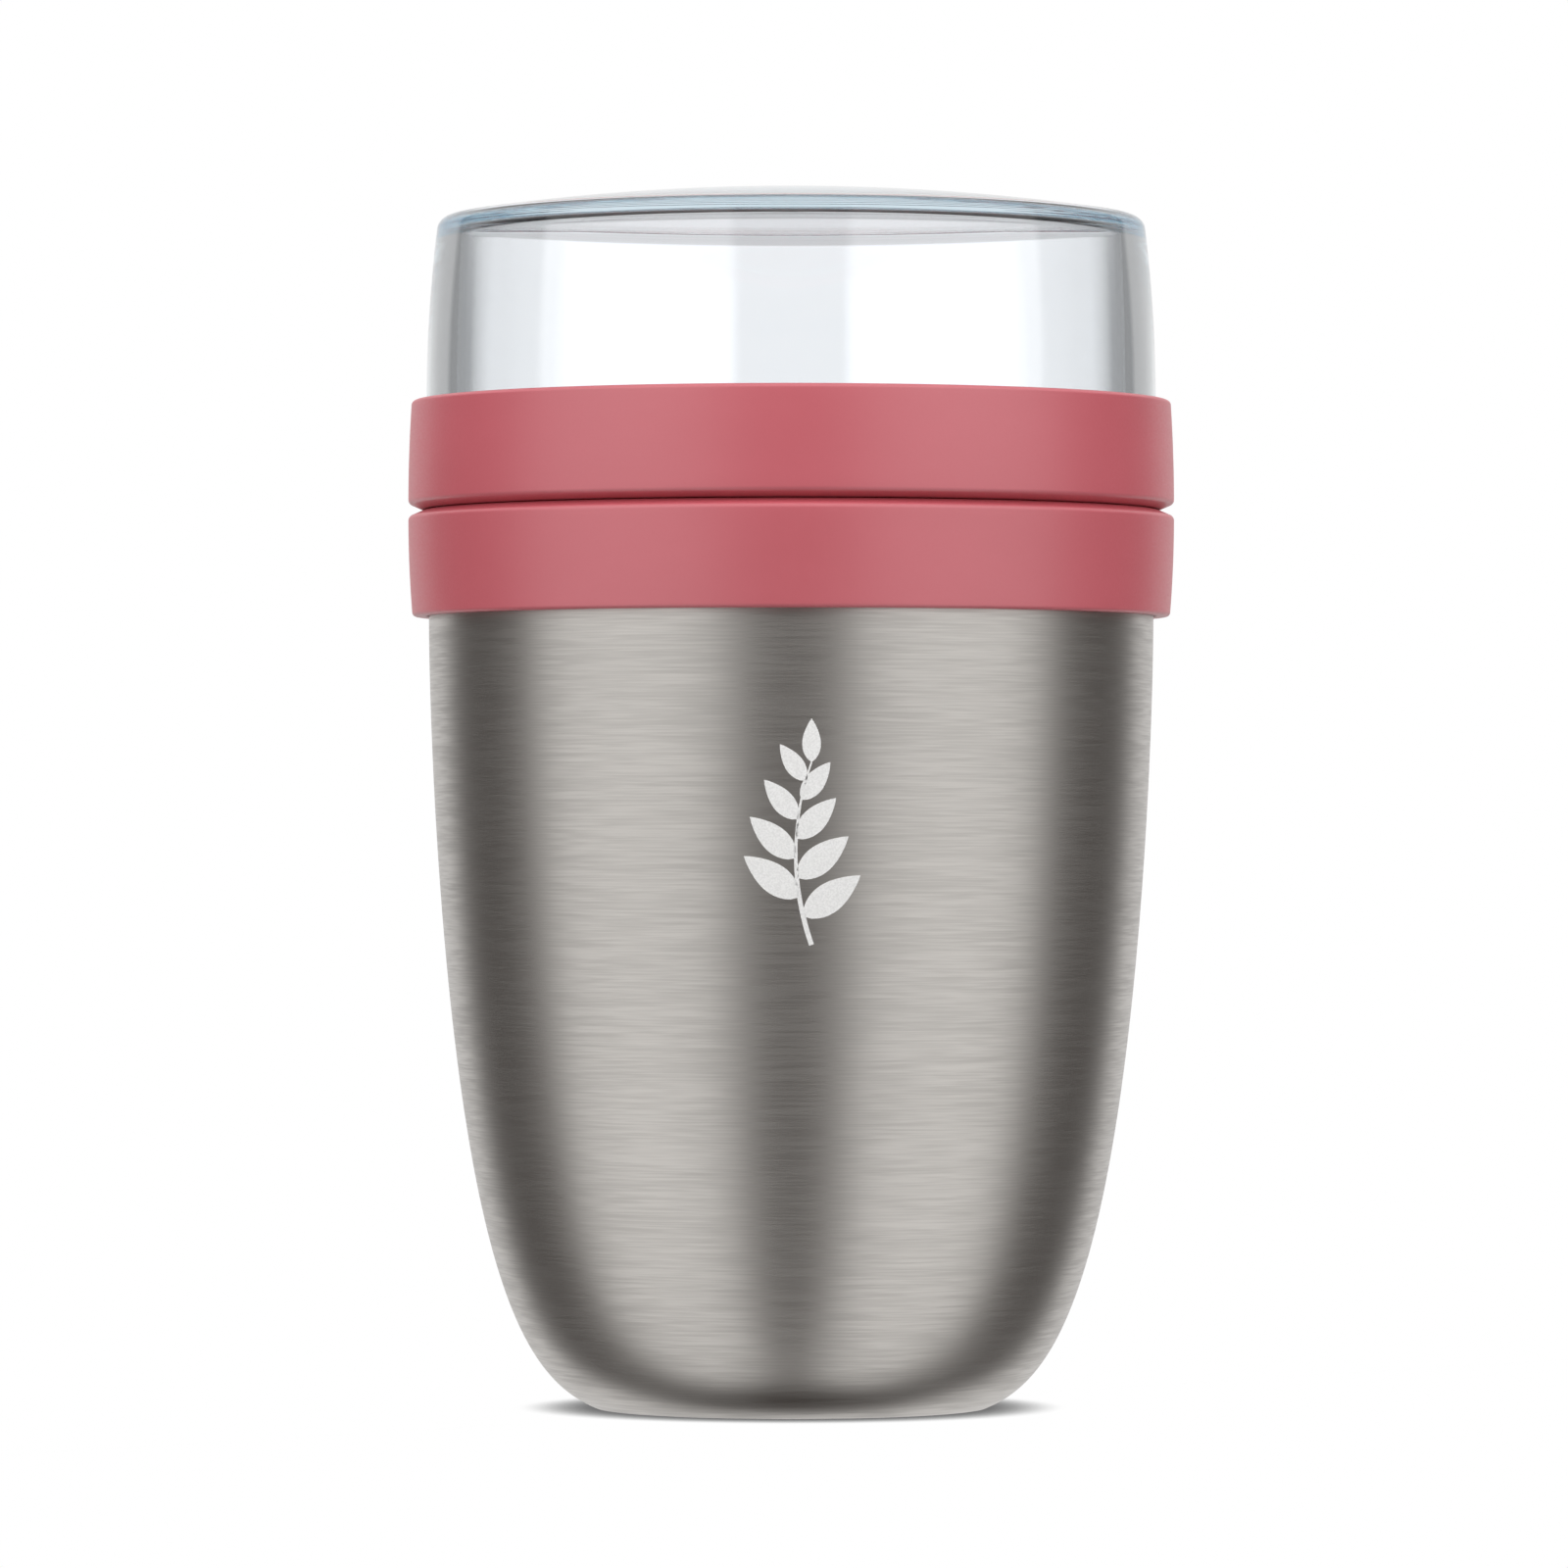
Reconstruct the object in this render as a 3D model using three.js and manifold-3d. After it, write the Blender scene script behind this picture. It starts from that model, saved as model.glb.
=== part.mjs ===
// Insulated lunch pot: a double-walled steel pot, a screwed lid ring and a clear topping cup on top of it.
// Millimetres, +Z up. The origin is the middle of the face that the pot stands on.
import * as THREE from "three";
import { mergeVertices } from "three/addons/utils/BufferGeometryUtils.js";
import Module from "manifold-3d";

// Steel pot
const STEEL_RADIUS = 52.47; // outside of the wall at its widest, under the collar
const STEEL_HEIGHT = 114.5; // from the floor to the underside of the collar
const STEEL_WALL = 0.6;
const STEEL_TIP_DROP = 1.9; // the outside curve would close this far below the floor
const BOWL_DRAW_IN = 1.625; // lower values draw the wall in sooner below its widest height
const BOWL_FULLNESS = 5.9; // higher values make the bottom corner squarer
const VACUUM_GAP = 7.7; // between the two steel walls at the top
const VESSEL_FLOOR = 10; // height of the inside floor over the standing face
const SHOULDER_LIFT = 2; // the steel goes on this far above the collar's underside before it necks in
const SHOULDER_RISE = 6;
const NECK_GAP = 0.65; // between the two steel walls in the neck
const RIM_REACH = 3; // how far the vessel's rolled rim reaches out over the collar

// Base of the pot
const FOOT_LAND = 3; // width of the ring that the pot stands on
const BASE_FLANGE_WIDTH = 4;
const BASE_PLATE_THICKNESS = 0.6;
const BASE_COVER_THICKNESS = 0.5;
const BASE_COVER_LIFT = 0.6; // the cover's height over the floor
const BEAD_RADIUS = 3;
const BEAD_THICKNESS = 0.8;
const BEAD_STEM_RADIUS = 1.2;
const GETTER_RADIUS = 5;
const GETTER_THICKNESS = 1.2;
const GETTER_OFFSET = 10; // from the middle of the base
const FOIL_THICKNESS = 0.25;
const FOIL_TOP_DROP = 4; // the foil ends this far below the collar's underside

// Coral bands
const BAND_OVERHANG = 2.98; // how far the bands stand out beyond the steel
const COLLAR_BAND_HEIGHT = 15.3;
const COLLAR_DRAFT = 0.6; // the collar's band narrows by this towards its lower edge
const COLLAR_EDGE = 0.5; // round of the lower edge
const COLLAR_LEDGE = 2.2; // thickness of the ledge under the parting groove
const LID_DRAFT = 0.5; // the lid ring narrows by this towards its upper edge
const LID_EDGE = 0.9; // round of the upper edge
const LID_WALL = 2.35;
const LID_LIP_CHAMFER = 0.25; // inside the ring's upper edge
const GROOVE_DEPTH = 1.8; // V-groove between the two bands
const GROOVE_BEVEL = 1.4; // height of each of its bevels
const PARTING_GAP = 0.4;
const NECK_WALL = 2; // outside wall of the collar's hollow neck
const NECK_CORE = 1.7; // width of the hollow in it
const NECK_CHAMFER = 0.4;
const GASKET_HEIGHT = 1.6;

// Lid
const PARTITION_THICKNESS = 1.6;
const LINER_CLEARANCE = 0.75; // between the plug and the mouth
const LINER_DEPTH = 9;
const LINER_WALL = 1.6;
const LINER_CHAMFER = 1.2;
const SPIGOT_LENGTH = 4; // ring under the partition that the plug snaps over
const SPIGOT_WALL = 1.6;
const LID_SEAL_THICKNESS = 1.4;
const CUP_SEAL_THICKNESS = 0.9;
const SEAL_CHAMFER = 0.25;

// Topping cup
const CUP_RISE = 30.5; // top of the crown over the lid ring
const CUP_WALL = 3.85; // where the cup comes out of the ring
const CUP_WALL_CURVE = 206; // radius of the slightly bowed outside
const CUP_BORE_CURVE = 482;
const CUP_CROWN_THICKNESS = 2.55;
const CUP_CROWN_CURVE = 320.7;
const CUP_CORNER = 2;
const CUP_BORE_CORNER = 1.8;
const CUP_STEP_DEPTH = 0.4; // depth of the full-width wall inside the ring

// Threads, alike under and over the partition
const THREAD_STARTS = 4;
const THREAD_LEAD = 12; // rise in one turn
const LUG_HEIGHT = 1.3;
const LUG_BASE = 1.4;
const LUG_TIP = 0.8;
const LUG_ROOT = 0.6; // depth of a lug's root in its wall
const LUG_CREST_GAP = 0.4;
const LUG_FLANK_GAP = 0.2;
const LUG_LAND = 0.2; // between a lug and the end of its wall
const LID_LUG_INSET = 0.4; // from the lid ring's lower edge to its lugs
const LID_LUG_SWEEP = THREE.MathUtils.degToRad(60);
const CUP_LUG_SWEEP = THREE.MathUtils.degToRad(30);

// Clearances
const FIT = 0.3; // round parts that sit in one another
const SEAT = 0.2; // flat faces that rest on one another

// Facets
const TURN_FACETS = 48;
const SMALL_TURN_FACETS = 24;
const BOWL_STEPS = 10;
const BOWL_EASE = 1.5; // sets a bowl's facets closer together towards its bottom corner
const WALL_STEPS = 3;
const CORNER_STEPS = 3;
const CROWN_STEPS = 4;
const LUG_STEP = (2 * Math.PI) / TURN_FACETS;
const WELD = 1e-4; // vertices closer than this are one

// Radii that follow from the sizes above
const mouthRadius = STEEL_RADIUS - 2 * STEEL_WALL - VACUUM_GAP;
const vesselOuterRadius = mouthRadius + STEEL_WALL;
const neckRadius = vesselOuterRadius + NECK_GAP + STEEL_WALL;
const rimRadius = vesselOuterRadius + RIM_REACH;
const bandRadius = STEEL_RADIUS + BAND_OVERHANG;
const grooveRadius = bandRadius - GROOVE_DEPTH;
const ringBore = bandRadius - LID_WALL;
const innerCrest = ringBore - LUG_HEIGHT;
const outerCrest = ringBore - LUG_CREST_GAP;
const threadRoot = outerCrest - LUG_HEIGHT;
const cupRadius = ringBore - FIT;
const cupBore = cupRadius - CUP_WALL;
const collarBore = neckRadius + FIT;
const sleeveRadius = threadRoot - NECK_WALL - NECK_CORE;
const linerRadius = mouthRadius - LINER_CLEARANCE;
const spigotRadius = linerRadius - LINER_WALL - FIT;

// Heights in the pot's frame
const shoulderFoot = STEEL_HEIGHT + SHOULDER_LIFT;
const shoulderTop = shoulderFoot + SHOULDER_RISE;
const collarTop = STEEL_HEIGHT + COLLAR_BAND_HEIGHT;
const lidFoot = collarTop + PARTING_GAP;
const lugSpacing = (LUG_BASE + LUG_TIP) / 2 + LUG_FLANK_GAP;
const lidLugFoot = LID_LUG_INSET + LUG_BASE / 2;
const neckLugFoot = lidFoot + lidLugFoot + lugSpacing;
const neckTop = neckLugFoot + climb(LID_LUG_SWEEP) + LUG_BASE / 2 + LUG_LAND;
const rimFoot = neckTop + FIT;
const rimTop = rimFoot + STEEL_WALL;

// Heights in the lid's frame, from the lid ring's lower edge
const partitionFoot = rimTop + SEAT + LID_SEAL_THICKNESS + SEAT - lidFoot;
const partitionTop = partitionFoot + PARTITION_THICKNESS;
const linerTop = partitionFoot - SEAT;
const linerFoot = linerTop - LINER_DEPTH;
const cupFoot = partitionTop + SEAT + CUP_SEAL_THICKNESS + SEAT;

// Heights in the cup's frame, from the cup's rim
const cupLugFoot = LUG_LAND + LUG_BASE / 2;
const ringLugFoot = cupLugFoot + lugSpacing;
const cupStep = ringLugFoot + climb(CUP_LUG_SWEEP) + LUG_BASE / 2 + FIT;
const ringTop = cupStep + CUP_STEP_DEPTH;
const crownTop = ringTop + CUP_RISE;

// The rise of a thread over an angle.
function climb(angle) {
  return (THREAD_LEAD * angle) / (2 * Math.PI);
}

const wasm = await Module();
wasm.setup();

// Turns [radius, height] points about +Z. Both ends of the outline lie on the axis, or it closes on itself.
function turned(outline, facets = TURN_FACETS) {
  const points = outline.map(([radius, height]) => new THREE.Vector2(radius, height));
  if (THREE.ShapeUtils.area(points) < 0) points.reverse();
  const onAxis = points.filter((point) => point.x < WELD).length > 1;
  if (!onAxis) points.push(points[0].clone());
  return new THREE.LatheGeometry(points, facets).rotateX(Math.PI / 2);
}

// A closed geometry as a solid that can be joined to others.
function solid(geometry) {
  const bare = geometry.clone();
  bare.deleteAttribute("normal");
  bare.deleteAttribute("uv");
  const welded = mergeVertices(bare, WELD);
  const vertProperties = welded.attributes.position.array;
  const triVerts = new Uint32Array(welded.index.array);
  return new wasm.Manifold(new wasm.Mesh({ numProp: 3, vertProperties, triVerts }));
}

// Joins closed geometries into one.
function joined(first, ...others) {
  const mesh = others.reduce((whole, other) => whole.add(solid(other)), solid(first)).getMesh();
  const geometry = new THREE.BufferGeometry();
  geometry.setAttribute("position", new THREE.BufferAttribute(mesh.vertProperties, mesh.numProp));
  geometry.setIndex(new THREE.BufferAttribute(mesh.triVerts, 1));
  geometry.computeVertexNormals();
  return geometry;
}

// A point of a bowl's outline. Angle 0 is its widest height and a quarter turn is its tip on the axis.
function bowlPoint(radius, top, tip, angle) {
  const depth = Math.sin(angle) ** (2 / BOWL_DRAW_IN);
  return [radius * Math.cos(angle) ** (2 / BOWL_FULLNESS), top + (tip - top) * depth];
}

// The angle at which a bowl's outline passes a height.
function bowlAngle(top, tip, height) {
  return Math.asin(((top - height) / (top - tip)) ** (BOWL_DRAW_IN / 2));
}

// A bowl's outline, downwards from one angle to another.
function bowlOutline(radius, top, tip, first, last) {
  const shares = steps(BOWL_STEPS, 1, 0).map((left) => 1 - left ** BOWL_EASE);
  return shares.map((share) => bowlPoint(radius, top, tip, THREE.MathUtils.lerp(first, last, share)));
}

// A bowl's whole outline from a height down to the axis.
function closedBowl(radius, top, tip, height) {
  const outline = bowlOutline(radius, top, tip, bowlAngle(top, tip, height), Math.PI / 2);
  return [...outline.slice(0, -1), [0, tip]];
}

// Evenly spaced numbers, both ends included.
function steps(count, first, last) {
  return Array.from({ length: count + 1 }, (_, i) => THREE.MathUtils.lerp(first, last, i / count));
}

// Points of an arc in the outline's plane.
function arc([radius, height], size, first, last, count) {
  return steps(count, first, last).map((a) => [radius + size * Math.cos(a), height + size * Math.sin(a)]);
}

// The direction from one outline point to another.
function bearing([fromRadius, fromHeight], [toRadius, toHeight]) {
  return Math.atan2(toHeight - fromHeight, toRadius - fromRadius);
}

// Where two circles of an outline cross, on the side away from the axis.
function crossing(centreA, sizeA, centreB, sizeB) {
  const apart = Math.hypot(centreB[0] - centreA[0], centreB[1] - centreA[1]);
  const along = (apart ** 2 + sizeA ** 2 - sizeB ** 2) / (2 * apart);
  const turn = bearing(centreA, centreB) + Math.acos(along / sizeA);
  return [centreA[0] + sizeA * Math.cos(turn), centreA[1] + sizeA * Math.sin(turn)];
}

// One skin of the cup: up a bowed wall, round a corner and over a shallow crown to the axis.
function cupSkin(footRadius, footHeight, wallCurve, crownHeight, crownCurve, corner) {
  const wallCentre = [footRadius - wallCurve, footHeight];
  const crownCentre = [0, crownHeight - crownCurve];
  const cornerCentre = crossing(wallCentre, wallCurve - corner, crownCentre, crownCurve - corner);
  const wallEnd = bearing(wallCentre, cornerCentre);
  const crownEnd = bearing(crownCentre, cornerCentre);
  return [
    ...arc(wallCentre, wallCurve, 0, wallEnd, WALL_STEPS),
    ...arc(cornerCentre, corner, wallEnd, crownEnd, CORNER_STEPS).slice(1),
    ...arc(crownCentre, crownCurve, crownEnd, Math.PI / 2, CROWN_STEPS).slice(1, -1),
    [0, crownHeight],
  ];
}

// A ring with a rectangular section and small chamfers.
function seal(inner, outer, foot, thickness) {
  const top = foot + thickness;
  return turned([
    [inner + SEAL_CHAMFER, foot],
    [outer - SEAL_CHAMFER, foot],
    [outer, foot + SEAL_CHAMFER],
    [outer, top],
    [inner, top],
    [inner, foot + SEAL_CHAMFER],
  ]);
}

// One thread lug: a ridge with sloping flanks that climbs round the axis and fades out at both ends.
function lug(wall, crest, start, sweep, foot) {
  const outwards = crest > wall;
  const root = outwards ? wall - LUG_ROOT : wall + LUG_ROOT;
  const fade = (root + wall) / 2;
  const count = Math.round(sweep / LUG_STEP);
  const position = [];
  steps(count, 0, sweep).forEach((angle, i) => {
    const top = i === 0 || i === count ? fade : crest;
    const middle = foot + climb(angle);
    const section = [
      [root, middle - LUG_BASE / 2],
      [top, middle - LUG_TIP / 2],
      [top, middle + LUG_TIP / 2],
      [root, middle + LUG_BASE / 2],
    ];
    for (const [radius, height] of section) {
      position.push(radius * Math.cos(start + angle), radius * Math.sin(start + angle), height);
    }
  });
  const corners = 4;
  const last = corners * count;
  const index = [0, 1, 2, 0, 2, 3, last, last + 2, last + 1, last, last + 3, last + 2];
  for (let near = 0; near < last; near += corners) {
    for (let corner = 0; corner < corners; corner++) {
      const a = near + corner;
      const b = near + ((corner + 1) % corners);
      index.push(a, a + corners, b, b, a + corners, b + corners);
    }
  }
  if (!outwards) index.reverse();
  const geometry = new THREE.BufferGeometry();
  geometry.setAttribute("position", new THREE.Float32BufferAttribute(position, 3));
  geometry.setIndex(index);
  return geometry;
}

// The lugs of all the starts of a thread.
function lugs(wall, crest, sweep, foot) {
  return steps(THREAD_STARTS, 0, 2 * Math.PI)
    .slice(1)
    .map((start) => lug(wall, crest, start, sweep, foot));
}

// Outside steel wall, with its foot ring, the flange in the base and the hidden shoulder and neck.
const innerTip = STEEL_WALL - STEEL_TIP_DROP;
const footAngle = bowlAngle(STEEL_HEIGHT, -STEEL_TIP_DROP, 0);
const innerFootAngle = bowlAngle(STEEL_HEIGHT, innerTip, STEEL_WALL);
const [footRadius] = bowlPoint(STEEL_RADIUS, STEEL_HEIGHT, -STEEL_TIP_DROP, footAngle);
const recessRadius = footRadius - FOOT_LAND;
const beadFoot = BASE_COVER_LIFT + BASE_COVER_THICKNESS + SEAT;
const plateFoot = beadFoot + BEAD_THICKNESS + SEAT;
const plateTop = plateFoot + BASE_PLATE_THICKNESS;
const flangeFoot = plateTop + SEAT;
const flangeTop = flangeFoot + STEEL_WALL;
const flangeBore = recessRadius - BASE_FLANGE_WIDTH;

function outerShell() {
  return turned([
    ...bowlOutline(STEEL_RADIUS, STEEL_HEIGHT, -STEEL_TIP_DROP, 0, footAngle).reverse(),
    [STEEL_RADIUS, shoulderFoot],
    [neckRadius, shoulderTop],
    [neckRadius, rimFoot - FIT],
    [neckRadius - STEEL_WALL, rimFoot - FIT],
    [neckRadius - STEEL_WALL, shoulderTop - STEEL_WALL / 2],
    [STEEL_RADIUS - STEEL_WALL, shoulderFoot - STEEL_WALL / 2],
    ...bowlOutline(STEEL_RADIUS - STEEL_WALL, STEEL_HEIGHT, innerTip, 0, innerFootAngle),
    [recessRadius + STEEL_WALL, STEEL_WALL],
    [recessRadius + STEEL_WALL, flangeTop],
    [flangeBore, flangeTop],
    [flangeBore, flangeFoot],
    [recessRadius, flangeFoot],
    [recessRadius, 0],
  ]);
}

// Food vessel, with its rim rolled out over the collar.
function innerVessel() {
  return turned([
    ...closedBowl(mouthRadius, STEEL_HEIGHT, VESSEL_FLOOR, STEEL_HEIGHT).reverse(),
    [mouthRadius, rimTop],
    [rimRadius, rimTop],
    [rimRadius, rimFoot],
    [vesselOuterRadius, rimFoot],
    ...closedBowl(vesselOuterRadius, STEEL_HEIGHT, VESSEL_FLOOR - STEEL_WALL, STEEL_HEIGHT),
  ]);
}

// Reflecting foil close round the vessel.
function radiationFoil() {
  const foilTop = STEEL_HEIGHT - FOIL_TOP_DROP;
  const inside = vesselOuterRadius + FIT;
  const insideTip = VESSEL_FLOOR - STEEL_WALL - FIT;
  return turned([
    ...closedBowl(inside, STEEL_HEIGHT, insideTip, foilTop).reverse(),
    ...closedBowl(inside + FOIL_THICKNESS, STEEL_HEIGHT, insideTip - FOIL_THICKNESS, foilTop),
  ]);
}

// Disc in the recess of the base, with the hole that the air is drawn out through.
function basePlate() {
  return turned([
    [BEAD_STEM_RADIUS + FIT, plateFoot],
    [recessRadius - FIT, plateFoot],
    [recessRadius - FIT, plateTop],
    [BEAD_STEM_RADIUS + FIT, plateTop],
  ]);
}

// Bead that closes the hole, with its stem in it.
function vacuumSeal() {
  const beadTop = beadFoot + BEAD_THICKNESS;
  const outline = [
    [0, beadFoot],
    [BEAD_RADIUS, beadFoot],
    [BEAD_RADIUS, beadTop],
    [BEAD_STEM_RADIUS, beadTop],
    [BEAD_STEM_RADIUS, plateTop],
    [0, plateTop],
  ];
  return turned(outline, SMALL_TURN_FACETS);
}

// Pellet that lies on the base plate in the vacuum.
function getter() {
  const foot = plateTop + SEAT;
  const outline = [
    [0, foot],
    [GETTER_RADIUS, foot],
    [GETTER_RADIUS, foot + GETTER_THICKNESS],
    [0, foot + GETTER_THICKNESS],
  ];
  return turned(outline, SMALL_TURN_FACETS).translate(GETTER_OFFSET, 0, 0);
}

// Thin disc over the base plate.
function baseCover() {
  const top = BASE_COVER_LIFT + BASE_COVER_THICKNESS;
  return turned([
    [0, BASE_COVER_LIFT],
    [recessRadius - FIT, BASE_COVER_LIFT],
    [recessRadius - FIT, top],
    [0, top],
  ]);
}

// Lower band, with the hollow threaded neck above it. The sleeve inside stands on the gasket.
const sleeveFoot = shoulderTop + FIT + GASKET_HEIGHT + SEAT;

function potCollar() {
  const skirtBore = STEEL_RADIUS + FIT;
  const lowerRadius = bandRadius - COLLAR_DRAFT;
  const neck = turned([
    [skirtBore, STEEL_HEIGHT],
    [lowerRadius - COLLAR_EDGE, STEEL_HEIGHT],
    [lowerRadius, STEEL_HEIGHT + COLLAR_EDGE],
    [bandRadius - COLLAR_DRAFT / 4, STEEL_HEIGHT + COLLAR_BAND_HEIGHT / 2],
    [bandRadius, collarTop - GROOVE_BEVEL],
    [grooveRadius, collarTop],
    [threadRoot, collarTop],
    [threadRoot, neckTop - NECK_CHAMFER],
    [threadRoot - NECK_CHAMFER, neckTop],
    [collarBore, neckTop],
    [collarBore, sleeveFoot],
    [sleeveRadius, sleeveFoot],
    [sleeveRadius, neckTop - NECK_WALL],
    [threadRoot - NECK_WALL, neckTop - NECK_WALL],
    [threadRoot - NECK_WALL, collarTop - COLLAR_LEDGE],
    [skirtBore, collarTop - COLLAR_LEDGE],
  ]);
  return joined(neck, ...lugs(threadRoot, outerCrest, LID_LUG_SWEEP, neckLugFoot));
}

// Wedge-shaped ring between the steel shoulder and the collar's sleeve.
function collarGasket() {
  const slope = SHOULDER_RISE / (STEEL_RADIUS - neckRadius);
  const seatHeight = (radius) => shoulderTop - (radius - neckRadius) * slope + FIT;
  const top = sleeveFoot - SEAT;
  return turned([
    [collarBore, seatHeight(collarBore)],
    [sleeveRadius, seatHeight(sleeveRadius)],
    [sleeveRadius, top],
    [collarBore, top],
  ]);
}

// Upper band: a partition with a thread on each side of it and a spigot for the plug.
function lidRing() {
  const top = cupFoot + ringTop;
  const upperRadius = bandRadius - LID_DRAFT;
  const spigotFoot = partitionFoot - SPIGOT_LENGTH;
  const ring = turned([
    [0, partitionFoot],
    [spigotRadius - SPIGOT_WALL, partitionFoot],
    [spigotRadius - SPIGOT_WALL, spigotFoot],
    [spigotRadius, spigotFoot],
    [spigotRadius, partitionFoot],
    [ringBore, partitionFoot],
    [ringBore, 0],
    [grooveRadius, 0],
    [bandRadius, GROOVE_BEVEL],
    ...arc([upperRadius - LID_EDGE, top - LID_EDGE], LID_EDGE, 0, Math.PI / 2, CORNER_STEPS),
    [ringBore + LID_LIP_CHAMFER, top],
    [ringBore, top - LID_LIP_CHAMFER],
    [ringBore, partitionTop],
    [0, partitionTop],
  ]);
  return joined(
    ring,
    ...lugs(ringBore, innerCrest, LID_LUG_SWEEP, lidLugFoot),
    ...lugs(ringBore, innerCrest, CUP_LUG_SWEEP, cupFoot + ringLugFoot),
  );
}

// Plug under the partition.
function lidLiner() {
  return turned([
    [0, linerFoot],
    [linerRadius - LINER_CHAMFER, linerFoot],
    [linerRadius, linerFoot + LINER_CHAMFER],
    [linerRadius, linerTop],
    [linerRadius - LINER_WALL, linerTop],
    [linerRadius - LINER_WALL, linerFoot + LINER_WALL],
    [0, linerFoot + LINER_WALL],
  ]);
}

// Foam disc inside the plug.
function lidInsulation() {
  const radius = spigotRadius - SPIGOT_WALL - FIT;
  const foot = linerFoot + LINER_WALL + SEAT;
  return turned([
    [0, foot],
    [radius, foot],
    [radius, partitionFoot - SEAT],
    [0, partitionFoot - SEAT],
  ]);
}

// Ring round the plug, on the vessel's rim.
function lidSeal() {
  return seal(linerRadius + FIT, rimRadius, rimTop + SEAT - lidFoot, LID_SEAL_THICKNESS);
}

// Clear cup, mouth down, with its thread round the rim.
function toppingCup() {
  const ceiling = crownTop - CUP_CROWN_THICKNESS;
  const inside = cupSkin(cupBore, 0, CUP_BORE_CURVE, ceiling, CUP_CROWN_CURVE, CUP_BORE_CORNER);
  const outside = cupSkin(cupRadius, ringTop, CUP_WALL_CURVE, crownTop, CUP_CROWN_CURVE, CUP_CORNER);
  const bare = turned([
    ...inside.reverse(),
    [threadRoot, 0],
    [threadRoot, cupStep],
    [cupRadius, cupStep],
    ...outside,
  ]);
  return joined(bare, ...lugs(threadRoot, outerCrest, CUP_LUG_SWEEP, cupLugFoot));
}

// Ring under the cup's rim.
function cupSeal() {
  return seal(cupBore, threadRoot, -SEAT - CUP_SEAL_THICKNESS, CUP_SEAL_THICKNESS);
}

const FINISHES = {
  brushedSteel: { color: 0xb9b6b1, roughness: 0.38, metalness: 1 },
  innerSteel: { color: 0xc4c2be, roughness: 0.3, metalness: 1 },
  foil: { color: 0xd8dadb, roughness: 0.2, metalness: 1 },
  coral: { color: 0xbc6069, roughness: 0.42, metalness: 0 },
  clear: { color: 0xe4ebee, roughness: 0.04, metalness: 0, transparent: true, opacity: 0.35 },
  silicone: { color: 0xe3e1dc, roughness: 0.6, metalness: 0 },
  foam: { color: 0xeae4d6, roughness: 0.95, metalness: 0 },
  pellet: { color: 0x5b5b5e, roughness: 0.8, metalness: 0.4 },
  solderGlass: { color: 0x6f7b80, roughness: 0.15, metalness: 0 },
};

// A named piece in its own finish.
function piece(name, geometry, finish) {
  const mesh = new THREE.Mesh(geometry, new THREE.MeshStandardMaterial(finish));
  mesh.name = name;
  return mesh;
}

const pot = new THREE.Group();
pot.add(
  piece("outer_shell", outerShell(), FINISHES.brushedSteel),
  piece("inner_vessel", innerVessel(), FINISHES.innerSteel),
  piece("radiation_foil", radiationFoil(), FINISHES.foil),
  piece("base_plate", basePlate(), FINISHES.innerSteel),
  piece("vacuum_seal", vacuumSeal(), FINISHES.solderGlass),
  piece("getter", getter(), FINISHES.pellet),
  piece("base_cover", baseCover(), FINISHES.innerSteel),
  piece("pot_collar", potCollar(), FINISHES.coral),
  piece("collar_gasket", collarGasket(), FINISHES.silicone),
);

const cup = new THREE.Group();
cup.position.z = cupFoot;
cup.add(
  piece("topping_cup", toppingCup(), FINISHES.clear),
  piece("cup_seal", cupSeal(), FINISHES.silicone),
);

const lid = new THREE.Group();
lid.position.z = lidFoot;
lid.add(
  piece("lid_ring", lidRing(), FINISHES.coral),
  piece("lid_liner", lidLiner(), FINISHES.coral),
  piece("lid_insulation", lidInsulation(), FINISHES.foam),
  piece("lid_seal", lidSeal(), FINISHES.silicone),
  cup,
);

const lunchPot = new THREE.Group();
lunchPot.add(pot, lid);

export default lunchPot;
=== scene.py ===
"""Looks of an insulated lunch pot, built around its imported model, in metres with +Z up."""

import logging
import math
from collections.abc import Iterable, Sequence
from dataclasses import dataclass, field
from enum import Enum
from typing import Any

import bmesh
import bpy
from mathutils import Matrix, Vector

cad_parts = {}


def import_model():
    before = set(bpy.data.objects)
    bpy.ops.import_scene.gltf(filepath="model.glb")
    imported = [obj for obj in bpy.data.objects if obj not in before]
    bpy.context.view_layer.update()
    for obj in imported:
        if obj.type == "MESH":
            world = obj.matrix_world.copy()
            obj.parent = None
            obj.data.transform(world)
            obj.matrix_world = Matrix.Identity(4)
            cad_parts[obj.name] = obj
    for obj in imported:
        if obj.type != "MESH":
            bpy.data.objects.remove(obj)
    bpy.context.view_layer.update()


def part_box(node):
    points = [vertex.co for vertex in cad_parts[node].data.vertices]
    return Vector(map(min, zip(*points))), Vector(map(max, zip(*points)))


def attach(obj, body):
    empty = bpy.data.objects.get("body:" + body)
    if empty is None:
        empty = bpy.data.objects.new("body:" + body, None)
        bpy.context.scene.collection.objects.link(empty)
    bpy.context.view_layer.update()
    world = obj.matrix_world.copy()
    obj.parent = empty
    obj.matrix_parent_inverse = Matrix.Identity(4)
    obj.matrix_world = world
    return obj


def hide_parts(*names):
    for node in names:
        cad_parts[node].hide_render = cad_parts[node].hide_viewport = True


LOG = logging.getLogger("lunch_pot")

Point = tuple[float, float]
Size = tuple[float, float, float]
Colour = tuple[float, float, float, float]
Inputs = dict[str | int, Any]
Socket = bpy.types.NodeSocket
Patterns = tuple[Socket, Socket]
Piece = bpy.types.Object

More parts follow.
